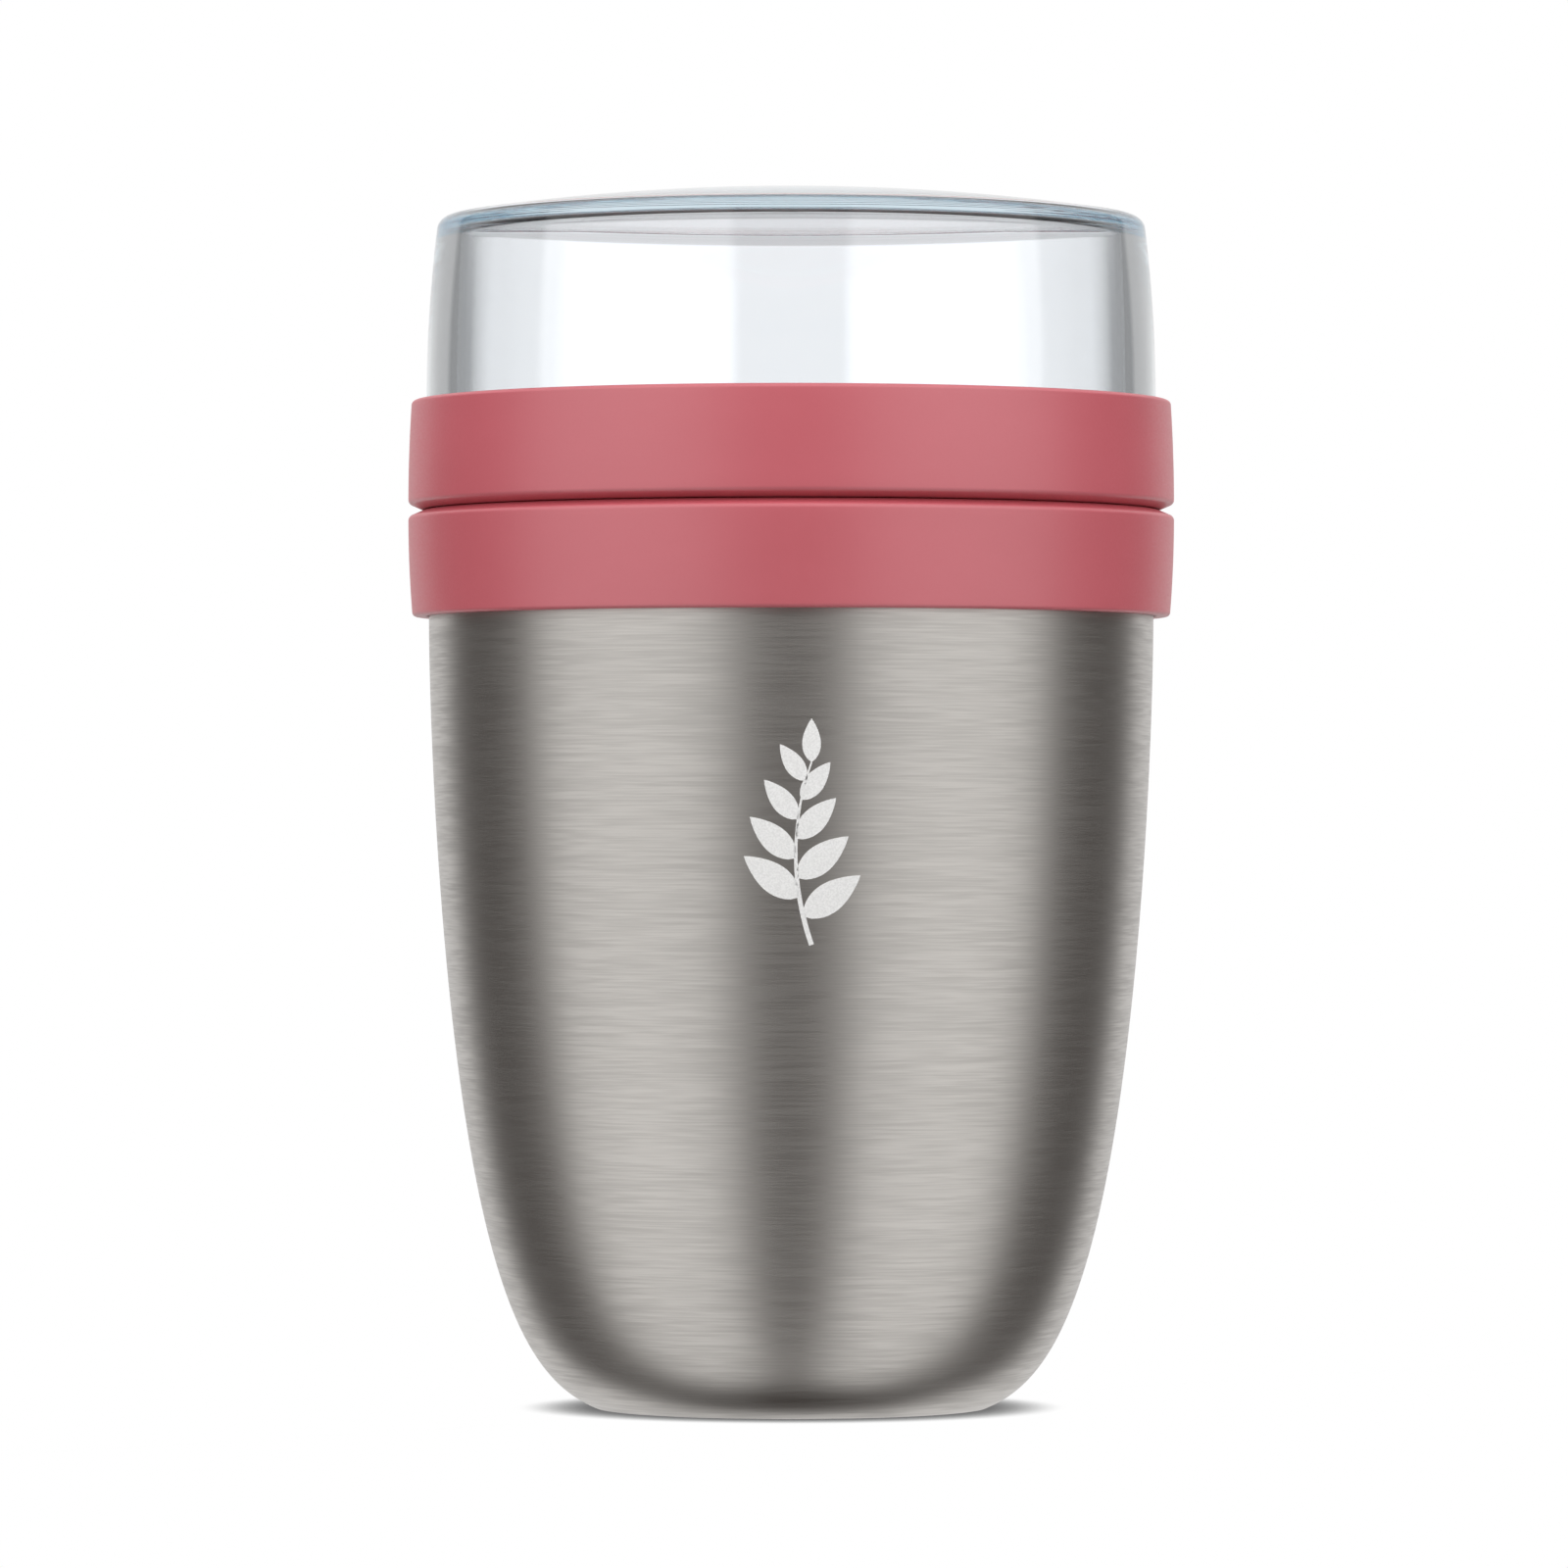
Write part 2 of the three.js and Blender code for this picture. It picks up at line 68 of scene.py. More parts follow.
HUB = 0.0001  # radius of the small circle that outlines are swept round
WELD = 0.000001  # vertices closer than this are one
SLIVER = WELD / 10  # faces thinner than this are dissolved
FACETS = 224
SMALL_FACETS = 64
SHARP_ANGLE = math.radians(32)
ARC_STEP = math.radians(7)
LEAST_ARC_STEPS = 3
CORNER_SHARE = 0.48  # the most of a side that the round at one of its ends takes up
NOISE_SPREAD: Point = (0.3, 0.7)  # most values of a noise lie between these
FULL_SPREAD: Point = (0.0, 1.0)
ONE_BOUNCE = 0.5  # a count of bounces above this is one or more


class Body(Enum):
    """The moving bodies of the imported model."""

    POT = "pot"
    LID_SEAL = "lid_seal_ring"
    LID = "lid"
    CUP_SEAL = "cup_seal_ring"
    CUP = "cup"


class Slot(Enum):
    """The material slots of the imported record."""

    BRUSHED_STEEL = "brushed_steel"
    INNER_STEEL = "inner_steel"
    FOIL = "foil"
    CORAL = "coral"
    CLEAR = "clear"
    SILICONE = "silicone"
    FOAM = "foam"
    PELLET = "pellet"
    SOLDER_GLASS = "solder_glass"


class Detail(Enum):
    """How many finer layers a noise has."""

    PLAIN = 2.0
    MIXED = 3.0
    CLOUDY = 4.0


class Kind(Enum):
    """The kinds of input that a geometry tree takes."""

    SHAPE = "NodeSocketGeometry"
    LENGTH = "NodeSocketFloat"
    COUNT = "NodeSocketInt"
    PIECE = "NodeSocketObject"
    MATERIAL = "NodeSocketMaterial"


class Facing(Enum):
    """Which way the lugs of a thread stand from their wall."""

    OUTWARDS = 1
    INWARDS = -1


class Sketch:
    """A node tree that is being drawn up."""

    def __init__(self, tree: bpy.types.NodeTree) -> None:
        """Starts from a tree, which may hold nodes already."""
        self.tree = tree

    def add(self, kind: str, inputs: Inputs | None = None, **settings: Any) -> bpy.types.Node:
        """Adds a node.

        Args:
            kind: Blender's name of the node type.
            inputs: values or sockets for the node's inputs, by name or number.
            **settings: the node's own properties.

        Returns:
            The new node.
        """
        node = self.tree.nodes.new(kind)
        for name, value in settings.items():
            setattr(node, name, value)
        self.feed(node, inputs or {})
        return node

    def feed(self, node: bpy.types.Node, inputs: Inputs) -> None:
        """Sets inputs of a node to values, or links sockets to them.

        Args:
            node: the node.
            inputs: values or sockets, by the input's name or number.
        """
        for key, value in inputs.items():
            if isinstance(value, Socket):
                self.tree.links.new(value, node.inputs[key])
            else:
                node.inputs[key].default_value = value

    def out(self, kind: str, inputs: Inputs | None = None, output: str | int = 0, **settings: Any) -> Socket:
        """Adds a node and gives one of its outputs."""
        return self.add(kind, inputs, **settings).outputs[output]

    def math(self, operation: str, *values: Any) -> Socket:
        """One step of arithmetic."""
        return self.out("ShaderNodeMath", dict(enumerate(values)), operation=operation)

    def minus(self, value: Any) -> Socket:
        """A value with its sign changed."""
        return self.math("MULTIPLY", value, -1.0)

    def blend(self, share: Any, first: Any, second: Any) -> Socket:
        """A value between two others."""
        return self.out("ShaderNodeMix", {"Factor": share, 2: first, 3: second}, data_type="FLOAT")

    def vector(self, x: Any = 0.0, y: Any = 0.0, z: Any = 0.0) -> Socket:
        """Three numbers or sockets as one vector."""
        return self.out("ShaderNodeCombineXYZ", {0: x, 1: y, 2: z})

    def axes(self, vector: Socket) -> Iterable[Socket]:
        """The X, Y and Z of a vector."""
        return self.add("ShaderNodeSeparateXYZ", {0: vector}).outputs

    def remap(self, value: Any, low: float, high: float, first: Any = 0.0, last: Any = 1.0) -> Socket:
        """Takes a range of values smoothly to another range."""
        inputs = {0: value, 1: low, 2: high, 3: first, 4: last}
        return self.out("ShaderNodeMapRange", inputs, interpolation_type="SMOOTHSTEP")

    def place(self) -> Socket:
        """A point in the piece's own coordinates."""
        return self.out("ShaderNodeTexCoord", output="Object")

    def noise(self, size: Size, detail: Detail) -> Socket:
        """Noise in the piece's own coordinates.

        Args:
            size: the rough size of a speck along X, Y and Z.
            detail: how many finer layers it has.

        Returns:
            The noise's value.
        """
        scale = tuple(1 / length for length in size)
        scaled = self.out("ShaderNodeMapping", {"Vector": self.place(), "Scale": scale})
        return self.out("ShaderNodeTexNoise", {"Vector": scaled, "Scale": 1.0, "Detail": detail.value})

    def cells(self, per_metre: float, feature: str = "F1") -> Socket:
        """Distances inside packed cells, in the piece's own coordinates."""
        inputs = {"Vector": self.place(), "Scale": per_metre}
        return self.out("ShaderNodeTexVoronoi", inputs, output="Distance", feature=feature)

    def tones(self, factor: Any, dark: Colour, pale: Colour) -> Socket:
        """A colour between two tones."""
        return self.out("ShaderNodeMix", {"Factor": factor, 6: dark, 7: pale}, output=2, data_type="RGBA")

    def bump(self, height: Any, depth: float, strength: float) -> Socket:
        """A bumped normal from a height between 0 and 1."""
        inputs = {"Height": height, "Distance": depth, "Strength": strength}
        return self.out("ShaderNodeBump", inputs, output="Normal")

    def joined(self, *meshes: Socket) -> Socket:
        """Joins meshes into one geometry.

        Args:
            *meshes: the meshes.

        Returns:
            The geometry.
        """
        node = self.add("GeometryNodeJoinGeometry")
        for mesh in meshes:
            self.feed(node, {0: mesh})
        return node.outputs[0]

    def welded(self, geometry: Socket) -> Socket:
        """A geometry whose close vertices are merged."""
        return self.out("GeometryNodeMergeByDistance", {"Geometry": geometry, "Distance": WELD})


class Coat(Sketch):
    """The node tree of a material, with the shader and the output that it has from the start."""

    def __init__(self, material: bpy.types.Material) -> None:
        """Starts from a new material.

        Args:
            material: the material.
        """
        material.use_nodes = True
        super().__init__(material.node_tree)
        self.shader = self.tree.nodes["Principled BSDF"]
        self.output = self.tree.nodes["Material Output"]


@dataclass(frozen=True)
class Finish:
    """A surface finish: patches between two tones, and a grain that the gloss and the relief follow."""

    name: str
    dark: Colour
    pale: Colour
    roughness: Point  # at the ends of the grain's spread
    relief: Point | None = None  # depth and strength
    spread: Point = NOISE_SPREAD
    metallic: float = 0.0

    def material(self) -> bpy.types.Material:
        """Makes the material when it is first asked for.

        Returns:
            The finish's material.
        """
        known = bpy.data.materials.get(self.name)
        if known:
            return known
        made = bpy.data.materials.new(self.name)
        coat = Coat(made)
        patches, grain = self.patterns(coat)
        inputs = {
            "Base Color": coat.tones(patches, self.dark, self.pale),
            "Roughness": coat.remap(grain, *self.spread, *self.roughness),
            "Metallic": self.metallic,
            **self.extras(coat),
        }
        if self.relief:
            inputs["Normal"] = coat.bump(grain, *self.relief)
        coat.feed(coat.shader, inputs)
        return made

    def patterns(self, coat: Coat) -> Patterns:
        """The patches and the grain, drawn in the material's tree."""
        raise NotImplementedError

    def extras(self, coat: Coat) -> Inputs:
        """What else the finish gives to the shader."""
        return {}


@dataclass(frozen=True)
class BrushedSteel(Finish):
    """Stainless steel with fine brush marks that run round the axis."""

    dark: Colour = (0.57, 0.55, 0.522, 1.0)
    pale: Colour = (0.66, 0.636, 0.604, 1.0)
    roughness: Point = (0.404, 0.343)
    relief: Point = (0.00001, 0.15)
    spread: Point = FULL_SPREAD
    metallic: float = 1.0
    fine_streak: Size = (0.009, 0.009, 0.00022)
    broad_streak: Size = (0.036, 0.036, 0.0011)
    fine_share: float = 0.7
    contrast: Point = (0.32, 0.68)
    anisotropy: float = 0.1
    brush_turn: float = 0.25

    def patterns(self, coat: Coat) -> Patterns:
        """Draws fine and broad brush marks.

        Args:
            coat: the material's tree.

        Returns:
            The marks, as patches and as grain.
        """
        fine = coat.math("MULTIPLY", coat.noise(self.fine_streak, Detail.PLAIN), self.fine_share)
        broad = coat.math("MULTIPLY", coat.noise(self.broad_streak, Detail.PLAIN), 1 - self.fine_share)
        marks = coat.remap(coat.math("ADD", fine, broad), *self.contrast)
        return marks, marks

    def extras(self, coat: Coat) -> Inputs:
        """The sheen across the brush marks."""
        around = coat.out("ShaderNodeTangent", direction_type="RADIAL", axis="Z")
        return {"Anisotropic": self.anisotropy, "Anisotropic Rotation": self.brush_turn, "Tangent": around}


@dataclass(frozen=True)
class SatinSteel(Finish):
    """Electropolished steel with faint turning marks and cloudy patches."""

    dark: Colour = (0.55, 0.54, 0.525, 1.0)
    pale: Colour = (0.66, 0.65, 0.635, 1.0)
    roughness: Point = (0.24, 0.36)
    relief: Point = (0.00001, 0.2)
    metallic: float = 1.0
    cloud: Size = (0.012, 0.012, 0.012)
    ring: Size = (0.02, 0.02, 0.0006)

    def patterns(self, coat: Coat) -> Patterns:
        """Cloudy patches and fine rings."""
        return coat.noise(self.cloud, Detail.CLOUDY), coat.noise(self.ring, Detail.PLAIN)


@dataclass(frozen=True)
class SatinPlastic(Finish):
    """Moulded opaque plastic with a fine satin grain."""

    dark: Colour = (0.525, 0.094, 0.118, 1.0)
    pale: Colour = (0.585, 0.113, 0.143, 1.0)
    roughness: Point = (0.36, 0.46)
    relief: Point = (0.00002, 0.12)
    drift: Size = (0.03, 0.03, 0.012)
    grain: Size = (0.00035, 0.00035, 0.00035)
    refraction: float = 1.62
    gloss: float = 1.0

    def patterns(self, coat: Coat) -> Patterns:
        """A slow drift of colour and a fine grain."""
        return coat.noise(self.drift, Detail.MIXED), coat.noise(self.grain, Detail.PLAIN)

    def extras(self, coat: Coat) -> Inputs:
        """A soft gloss."""
        return {"IOR": self.refraction, "Specular IOR Level": self.gloss}


@dataclass(frozen=True)
class ClearPlastic(Finish):
    """Clear moulded plastic that is a little blue where it is thick."""

    dark: Colour = (0.976, 0.985, 1.0, 1.0)
    pale: Colour = (0.966, 0.979, 0.997, 1.0)
    roughness: Point = (0.0, 0.012)
    spread: Point = FULL_SPREAD
    flow_mark: Size = (0.02, 0.02, 0.006)
    contrast: Point = (0.5, 0.8)
    refraction: float = 1.52
    tint: Colour = (0.42, 0.78, 0.92, 1.0)
    tint_per_metre: float = 5.0

    def patterns(self, coat: Coat) -> Patterns:
        """Faint flow marks, with a trace of haze in them."""
        marks = coat.remap(coat.noise(self.flow_mark, Detail.PLAIN), *self.contrast)
        return marks, marks

    def extras(self, coat: Coat) -> Inputs:
        """Draws the clear body with its tint.

        Args:
            coat: the material's tree.

        Returns:
            Values for the shader's inputs.
        """
        inputs = {"Color": self.tint, "Density": self.tint_per_metre}
        coat.feed(coat.output, {"Volume": coat.out("ShaderNodeVolumeAbsorption", inputs)})
        return {"Transmission Weight": 1.0, "IOR": self.refraction}


@dataclass(frozen=True)
class Silicone(Finish):
    """Matt milky rubber, with light that soaks in a little."""

    dark: Colour = (0.70, 0.69, 0.66, 1.0)
    pale: Colour = (0.80, 0.79, 0.76, 1.0)
    roughness: Point = (0.5, 0.66)
    relief: Point = (0.00002, 0.15)
    cloud: Size = (0.006, 0.006, 0.006)
    bloom: Size = (0.0004, 0.0004, 0.0004)
    soak: float = 0.25
    soak_reach: Size = (0.0012, 0.001, 0.0008)

    def patterns(self, coat: Coat) -> Patterns:
        """Soft clouds and a powdery bloom."""
        return coat.noise(self.cloud, Detail.CLOUDY), coat.noise(self.bloom, Detail.PLAIN)

    def extras(self, coat: Coat) -> Inputs:
        """The soaking light, with its reach in metres."""
        reach = {"Subsurface Radius": self.soak_reach, "Subsurface Scale": 1.0}
        return {"Subsurface Weight": self.soak, **reach}


@dataclass(frozen=True)
class CrinkledFoil(Finish):
    """Bright aluminium foil with fine creases along the edges of cells, where painted shade darkens its
    colour.
    """

    # the dark tone is painted shade in the creases
    dark: Colour = (0.68, 0.69, 0.70, 1.0)
    pale: Colour = (0.80, 0.81, 0.82, 1.0)
    roughness: Point = (0.3, 0.16)
    relief: Point = (0.0001, 0.5)
    spread: Point = FULL_SPREAD
    metallic: float = 1.0
    cells_per_metre: float = 160.0
    crease: float = 0.2  # share of a cell

    def patterns(self, coat: Coat) -> Patterns:
        """The creases, with painted shade darkening the colour in them."""
        # the crease pattern darkens the colour as painted shade, and also sets the roughness and the relief
        creases = coat.remap(coat.cells(self.cells_per_metre, "DISTANCE_TO_EDGE"), 0.0, self.crease)
        return creases, creases


@dataclass(frozen=True)
class Foam(Finish):
    """Pale closed-cell foam, with painted shade in its cells."""

    # the dark tone is painted shade at the bottoms of the cells
    dark: Colour = (0.70, 0.65, 0.55, 1.0)
    pale: Colour = (0.85, 0.80, 0.70, 1.0)
    roughness: Point = (0.95, 0.8)
    relief: Point = (0.0002, 0.5)
    spread: Point = FULL_SPREAD
    cells_per_metre: float = 900.0

    def patterns(self, coat: Coat) -> Patterns:
        """Small cells, with painted shade darkening their bottoms."""
        # the cell pattern darkens the colour towards each cell's bottom as painted shade, and also sets the
        # roughness and the relief
        cells = coat.cells(self.cells_per_metre)
        return cells, cells


@dataclass(frozen=True)
class Speckled(Finish):
    """A dense material with fine specks, such as pressed powder or solder glass."""

    dark: Colour = (0.09, 0.09, 0.095, 1.0)
    pale: Colour = (0.14, 0.14, 0.145, 1.0)
    roughness: Point = (0.6, 0.85)
    relief: Point = (0.00004, 0.3)
    speck: float = 0.0003
    contrast: Point = (0.35, 0.65)

    def patterns(self, coat: Coat) -> Patterns:
        """The specks, with more contrast in the colour."""
        specks = coat.noise((self.speck,) * 3, Detail.CLOUDY)
        return coat.remap(specks, *self.contrast), specks


STEEL = BrushedSteel("brushed_steel_wall")
SATIN_STEEL = SatinSteel("satin_steel")
CORAL = SatinPlastic("coral_plastic")
CLEAR = ClearPlastic("clear_plastic")
SILICONE = Silicone("milky_silicone")
FOIL = CrinkledFoil("crinkled_foil")
FOAM = Foam("cell_foam")
POWDER = Speckled("pressed_powder")
SOLDER_GLASS = Speckled(
    "grey_bead",
    dark=(0.13, 0.17, 0.19, 1.0),
    pale=(0.19, 0.23, 0.25, 1.0),
    speck=0.0008,
    roughness=(0.12, 0.3),
)
ETCHING = Speckled(
    "pale_etching",
    dark=(0.80, 0.80, 0.79, 1.0),
    pale=(0.91, 0.91, 0.90, 1.0),
    speck=0.00025,
    roughness=(0.5, 0.7),
)


@dataclass(frozen=True)
class Corner:
    """A corner of an outline, with the size of its round."""

    radius: float
    height: float
    round_size: float = 0.0

    def place(self) -> Vector:
        """The corner as a vector in the outline's plane."""
        return Vector((self.radius, self.height))


def sharp(points: Iterable[Point]) -> list[Corner]:
    """Points of an outline as corners that aren't rounded."""
    return [Corner(*point) for point in points]


def softened(corners: Sequence[Corner], closed: bool) -> list[Point]:
    """Rounds the corners of an outline.

    Args:
        corners: the outline's corners in order.
        closed: whether the last corner is joined to the first.

    Returns:
        The points of the rounded outline.
    """
    points: list[Point] = []
    for i, corner in enumerate(corners):
        here = corner.place()
        is_end = not closed and i in (0, len(corners) - 1)
        if is_end or not corner.round_size:
            points.append((here.x, here.y))
            continue
        back = corners[i - 1].place() - here
        ahead = corners[(i + 1) % len(corners)].place() - here
        half = back.angle(ahead) / 2
        longest = CORNER_SHARE * min(back.length, ahead.length)
        reach = min(corner.round_size / math.tan(half), longest)
        middle = (back.normalized() + ahead.normalized()).normalized()
        centre = here + middle * (reach / math.cos(half))
        spoke = here + back.normalized() * reach - centre
        turn = math.pi - 2 * half
        if back.cross(ahead) > 0:
            turn = -turn
        count = max(LEAST_ARC_STEPS, math.ceil(abs(turn) / ARC_STEP))
        for step in range(count + 1):
            point = centre + Matrix.Rotation(turn * step / count, 2) @ spoke
            points.append((point.x, point.y))
    return points


def arc(centre: Point, size: float, first: float, last: float, count: int) -> list[Point]:
    """Points of an arc in an outline's plane, from its first bearing to its last, in a count of stretches."""
    bearings = [first + (last - first) * i / count for i in range(count + 1)]
    return [(centre[0] + size * math.cos(b), centre[1] + size * math.sin(b)) for b in bearings]


@dataclass(frozen=True)
class Bowl:
    """A drawn wall, widest at its top, whose outline closes in a tip on the axis."""

    radius: float
    top: float
    tip: float
    draw_in: float = 1.625
    fullness: float = 5.9
    count: int = 84
    crowding: float = 1.5  # over 1, the steps get shorter towards the bottom corner

    def outline(self, high: float, low: float) -> list[Point]:
        """Points of the wall downwards between two heights."""
        first, last = (self.bearing(height) for height in (high, low))
        return [self.point(first + (last - first) * self.share(i)) for i in range(self.count + 1)]

    def share(self, step: int) -> float:
        """How far along the wall a step is."""
        return 1 - (1 - step / self.count) ** self.crowding

    def bearing(self, height: float) -> float:
        """The angle at which the outline passes a height."""
        depth = min(1.0, (self.top - height) / (self.top - self.tip))
        return math.asin(depth ** (self.draw_in / 2))

    def point(self, bearing: float) -> Point:
        """Finds a point of the outline.

        Args:
            bearing: its angle, from 0 at the top to a right angle at the tip.

        Returns:
            Its radius and height.
        """
        depth = math.sin(bearing) ** (2 / self.draw_in)
        across = max(0.0, math.cos(bearing)) ** (2 / self.fullness)
        return self.radius * across, self.top + (self.tip - self.top) * depth


@dataclass(frozen=True)
class Span:
    """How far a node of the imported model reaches."""

    foot: float
    top: float
    radius: float

    @classmethod
    def of(cls, node: str) -> "Span":
        """The span of a node at rest."""
        low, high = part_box(node)
        return cls(low.z, high.z, high.x)


def make_plain(piece: Piece) -> None:
    """Makes a plain mesh of a piece and its modifiers.

    Args:
        piece: the piece.
    """
    depsgraph = bpy.context.evaluated_depsgraph_get()
    piece.data = bpy.data.meshes.new_from_object(piece.evaluated_get(depsgraph), depsgraph=depsgraph)
    piece.modifiers.clear()


def shade(piece: Piece) -> None:
    """Shades a piece smooth between sharp edges."""
    piece.data.shade_smooth()
    piece.data.set_sharp_from_angle(angle=SHARP_ANGLE)


def tidy_faces(piece: Piece) -> None:
    """Welds a piece's seams and turns its faces outwards.

    Args:
        piece: the piece.
    """
    work = bmesh.new()
    work.from_mesh(piece.data)
    bmesh.ops.remove_doubles(work, verts=work.verts, dist=WELD)
    bmesh.ops.dissolve_degenerate(work, edges=work.edges, dist=SLIVER)
    bmesh.ops.recalc_face_normals(work, faces=work.faces)
    work.to_mesh(piece.data)
    work.free()


def fused(piece: Piece, *others: Piece) -> Piece:
    """Joins pieces that run into one another into one closed mesh.

    Args:
        piece: the piece that the others are joined to.
        *others: the pieces that it takes up.

    Returns:
        The joined piece.
    """
    for other in others:
        modifier = piece.modifiers.new("fuse", "BOOLEAN")
        modifier.operation = "UNION"
        modifier.solver = "EXACT"
        modifier.object = other
        make_plain(piece)
        bpy.data.objects.remove(other)
    shade(piece)
    return piece


def fit(piece: Piece, body: Body, slot: Slot | None, *nodes: str) -> None:
    """Fits a finished piece to the frame.

    Args:
        piece: the piece.
        body: the body that it moves with.
        slot: the record's slot for its finish, if it has one; not used.
        *nodes: the nodes that it stands for.
    """
    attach(piece, body.value)
    if nodes:
        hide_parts(*nodes)
    LOG.info("%s rides on %s with %d faces", piece.name, body.value, len(piece.data.polygons))


class Tree(Sketch):
    """A geometry tree with named inputs, which grows pieces."""

    def __init__(self, name: str, inputs: dict[Kind, Sequence[str]]) -> None:
        """Starts the tree.

        Args:
            name: the tree's name.
            inputs: the names of its inputs of each kind, apart from the material that every tree takes.
        """
        super().__init__(bpy.data.node_groups.new(name, "GeometryNodeTree"))
        sockets = self.tree.interface
        sockets.new_socket("Geometry", in_out="OUTPUT", socket_type=Kind.SHAPE.value)
        for kind, labels in {**inputs, Kind.MATERIAL: ["Material"]}.items():
            for label in labels:
                sockets.new_socket(label, in_out="INPUT", socket_type=kind.value)
        self.given = self.add("NodeGroupInput").outputs

    def close(self, geometry: Socket) -> None:
        """Ends the tree in realized instances and a material.

        Args:
            geometry: what the tree has made.
        """
        real = self.out("GeometryNodeRealizeInstances", {"Geometry": geometry})
        inputs = {"Geometry": real, "Material": self.given["Material"]}
        self.add("NodeGroupOutput", {0: self.out("GeometryNodeSetMaterial", inputs)})

    def grow(self, name: str, values: dict[str, Any], start: bpy.types.Mesh | None = None) -> Piece:
        """Grows a piece and makes it a plain mesh.

        Args:
            name: the piece's name.
            values: the tree's inputs, by name.
            start: the mesh that the tree starts from, if it needs one.

        Returns:
            The piece, with closed seams and its faces outwards.
        """
        piece = bpy.data.objects.new(name, start or bpy.data.meshes.new(name))
        bpy.context.collection.objects.link(piece)
        modifier = piece.modifiers.new(self.tree.name, "NODES")
        modifier.node_group = self.tree
        for item in self.tree.interface.items_tree:
            if item.in_out == "INPUT" and item.name in values:
                modifier[item.identifier] = values[item.name]
        make_plain(piece)
        tidy_faces(piece)
        shade(piece)
        return piece


class Lathe:
    """Turns outlines into pieces."""

    def __init__(self) -> None:
        """Draws the tree that sweeps an outline round the axis."""
        sizes = {Kind.SHAPE: ["Outline"], Kind.COUNT: ["Facets"], Kind.LENGTH: ["Hub"]}
        self.tree = Tree("turned_piece", sizes)
        given = self.tree.given
        outline = self.tree.out("GeometryNodeMeshToCurve", {"Mesh": given["Outline"]})
        inputs = {"Resolution": given["Facets"], "Radius": given["Hub"]}
        path = self.tree.out("GeometryNodeCurvePrimitiveCircle", inputs, output="Curve")
        swept = self.tree.out("GeometryNodeCurveToMesh", {"Curve": path, "Profile Curve": outline})
        self.tree.close(self.tree.welded(swept))

    def turned(
        self, name: str, corners: Sequence[Corner], finish: Finish, closed: bool = False, facets: int = FACETS
    ) -> Piece:
        """Turns an outline into a piece.

        Args:
            name: the piece's name.
            corners: the outline's corners in order.
            finish: the piece's finish.
            closed: whether the outline joins up, rather than ending on the axis at both ends.
            facets: the number of facets round the axis.

        Returns:
            The piece.
        """
        outline = softened(corners, closed)
        edges = [(i, i + 1) for i in range(len(outline) - 1)]
        if closed:
            edges.append((len(outline) - 1, 0))
        mesh = bpy.data.meshes.new(name)
        mesh.from_pydata([(radius - HUB, -height, 0.0) for radius, height in outline], edges, [])
        values = {"Facets": facets, "Hub": HUB, "Material": finish.material()}
        return self.tree.grow(name, values, mesh)


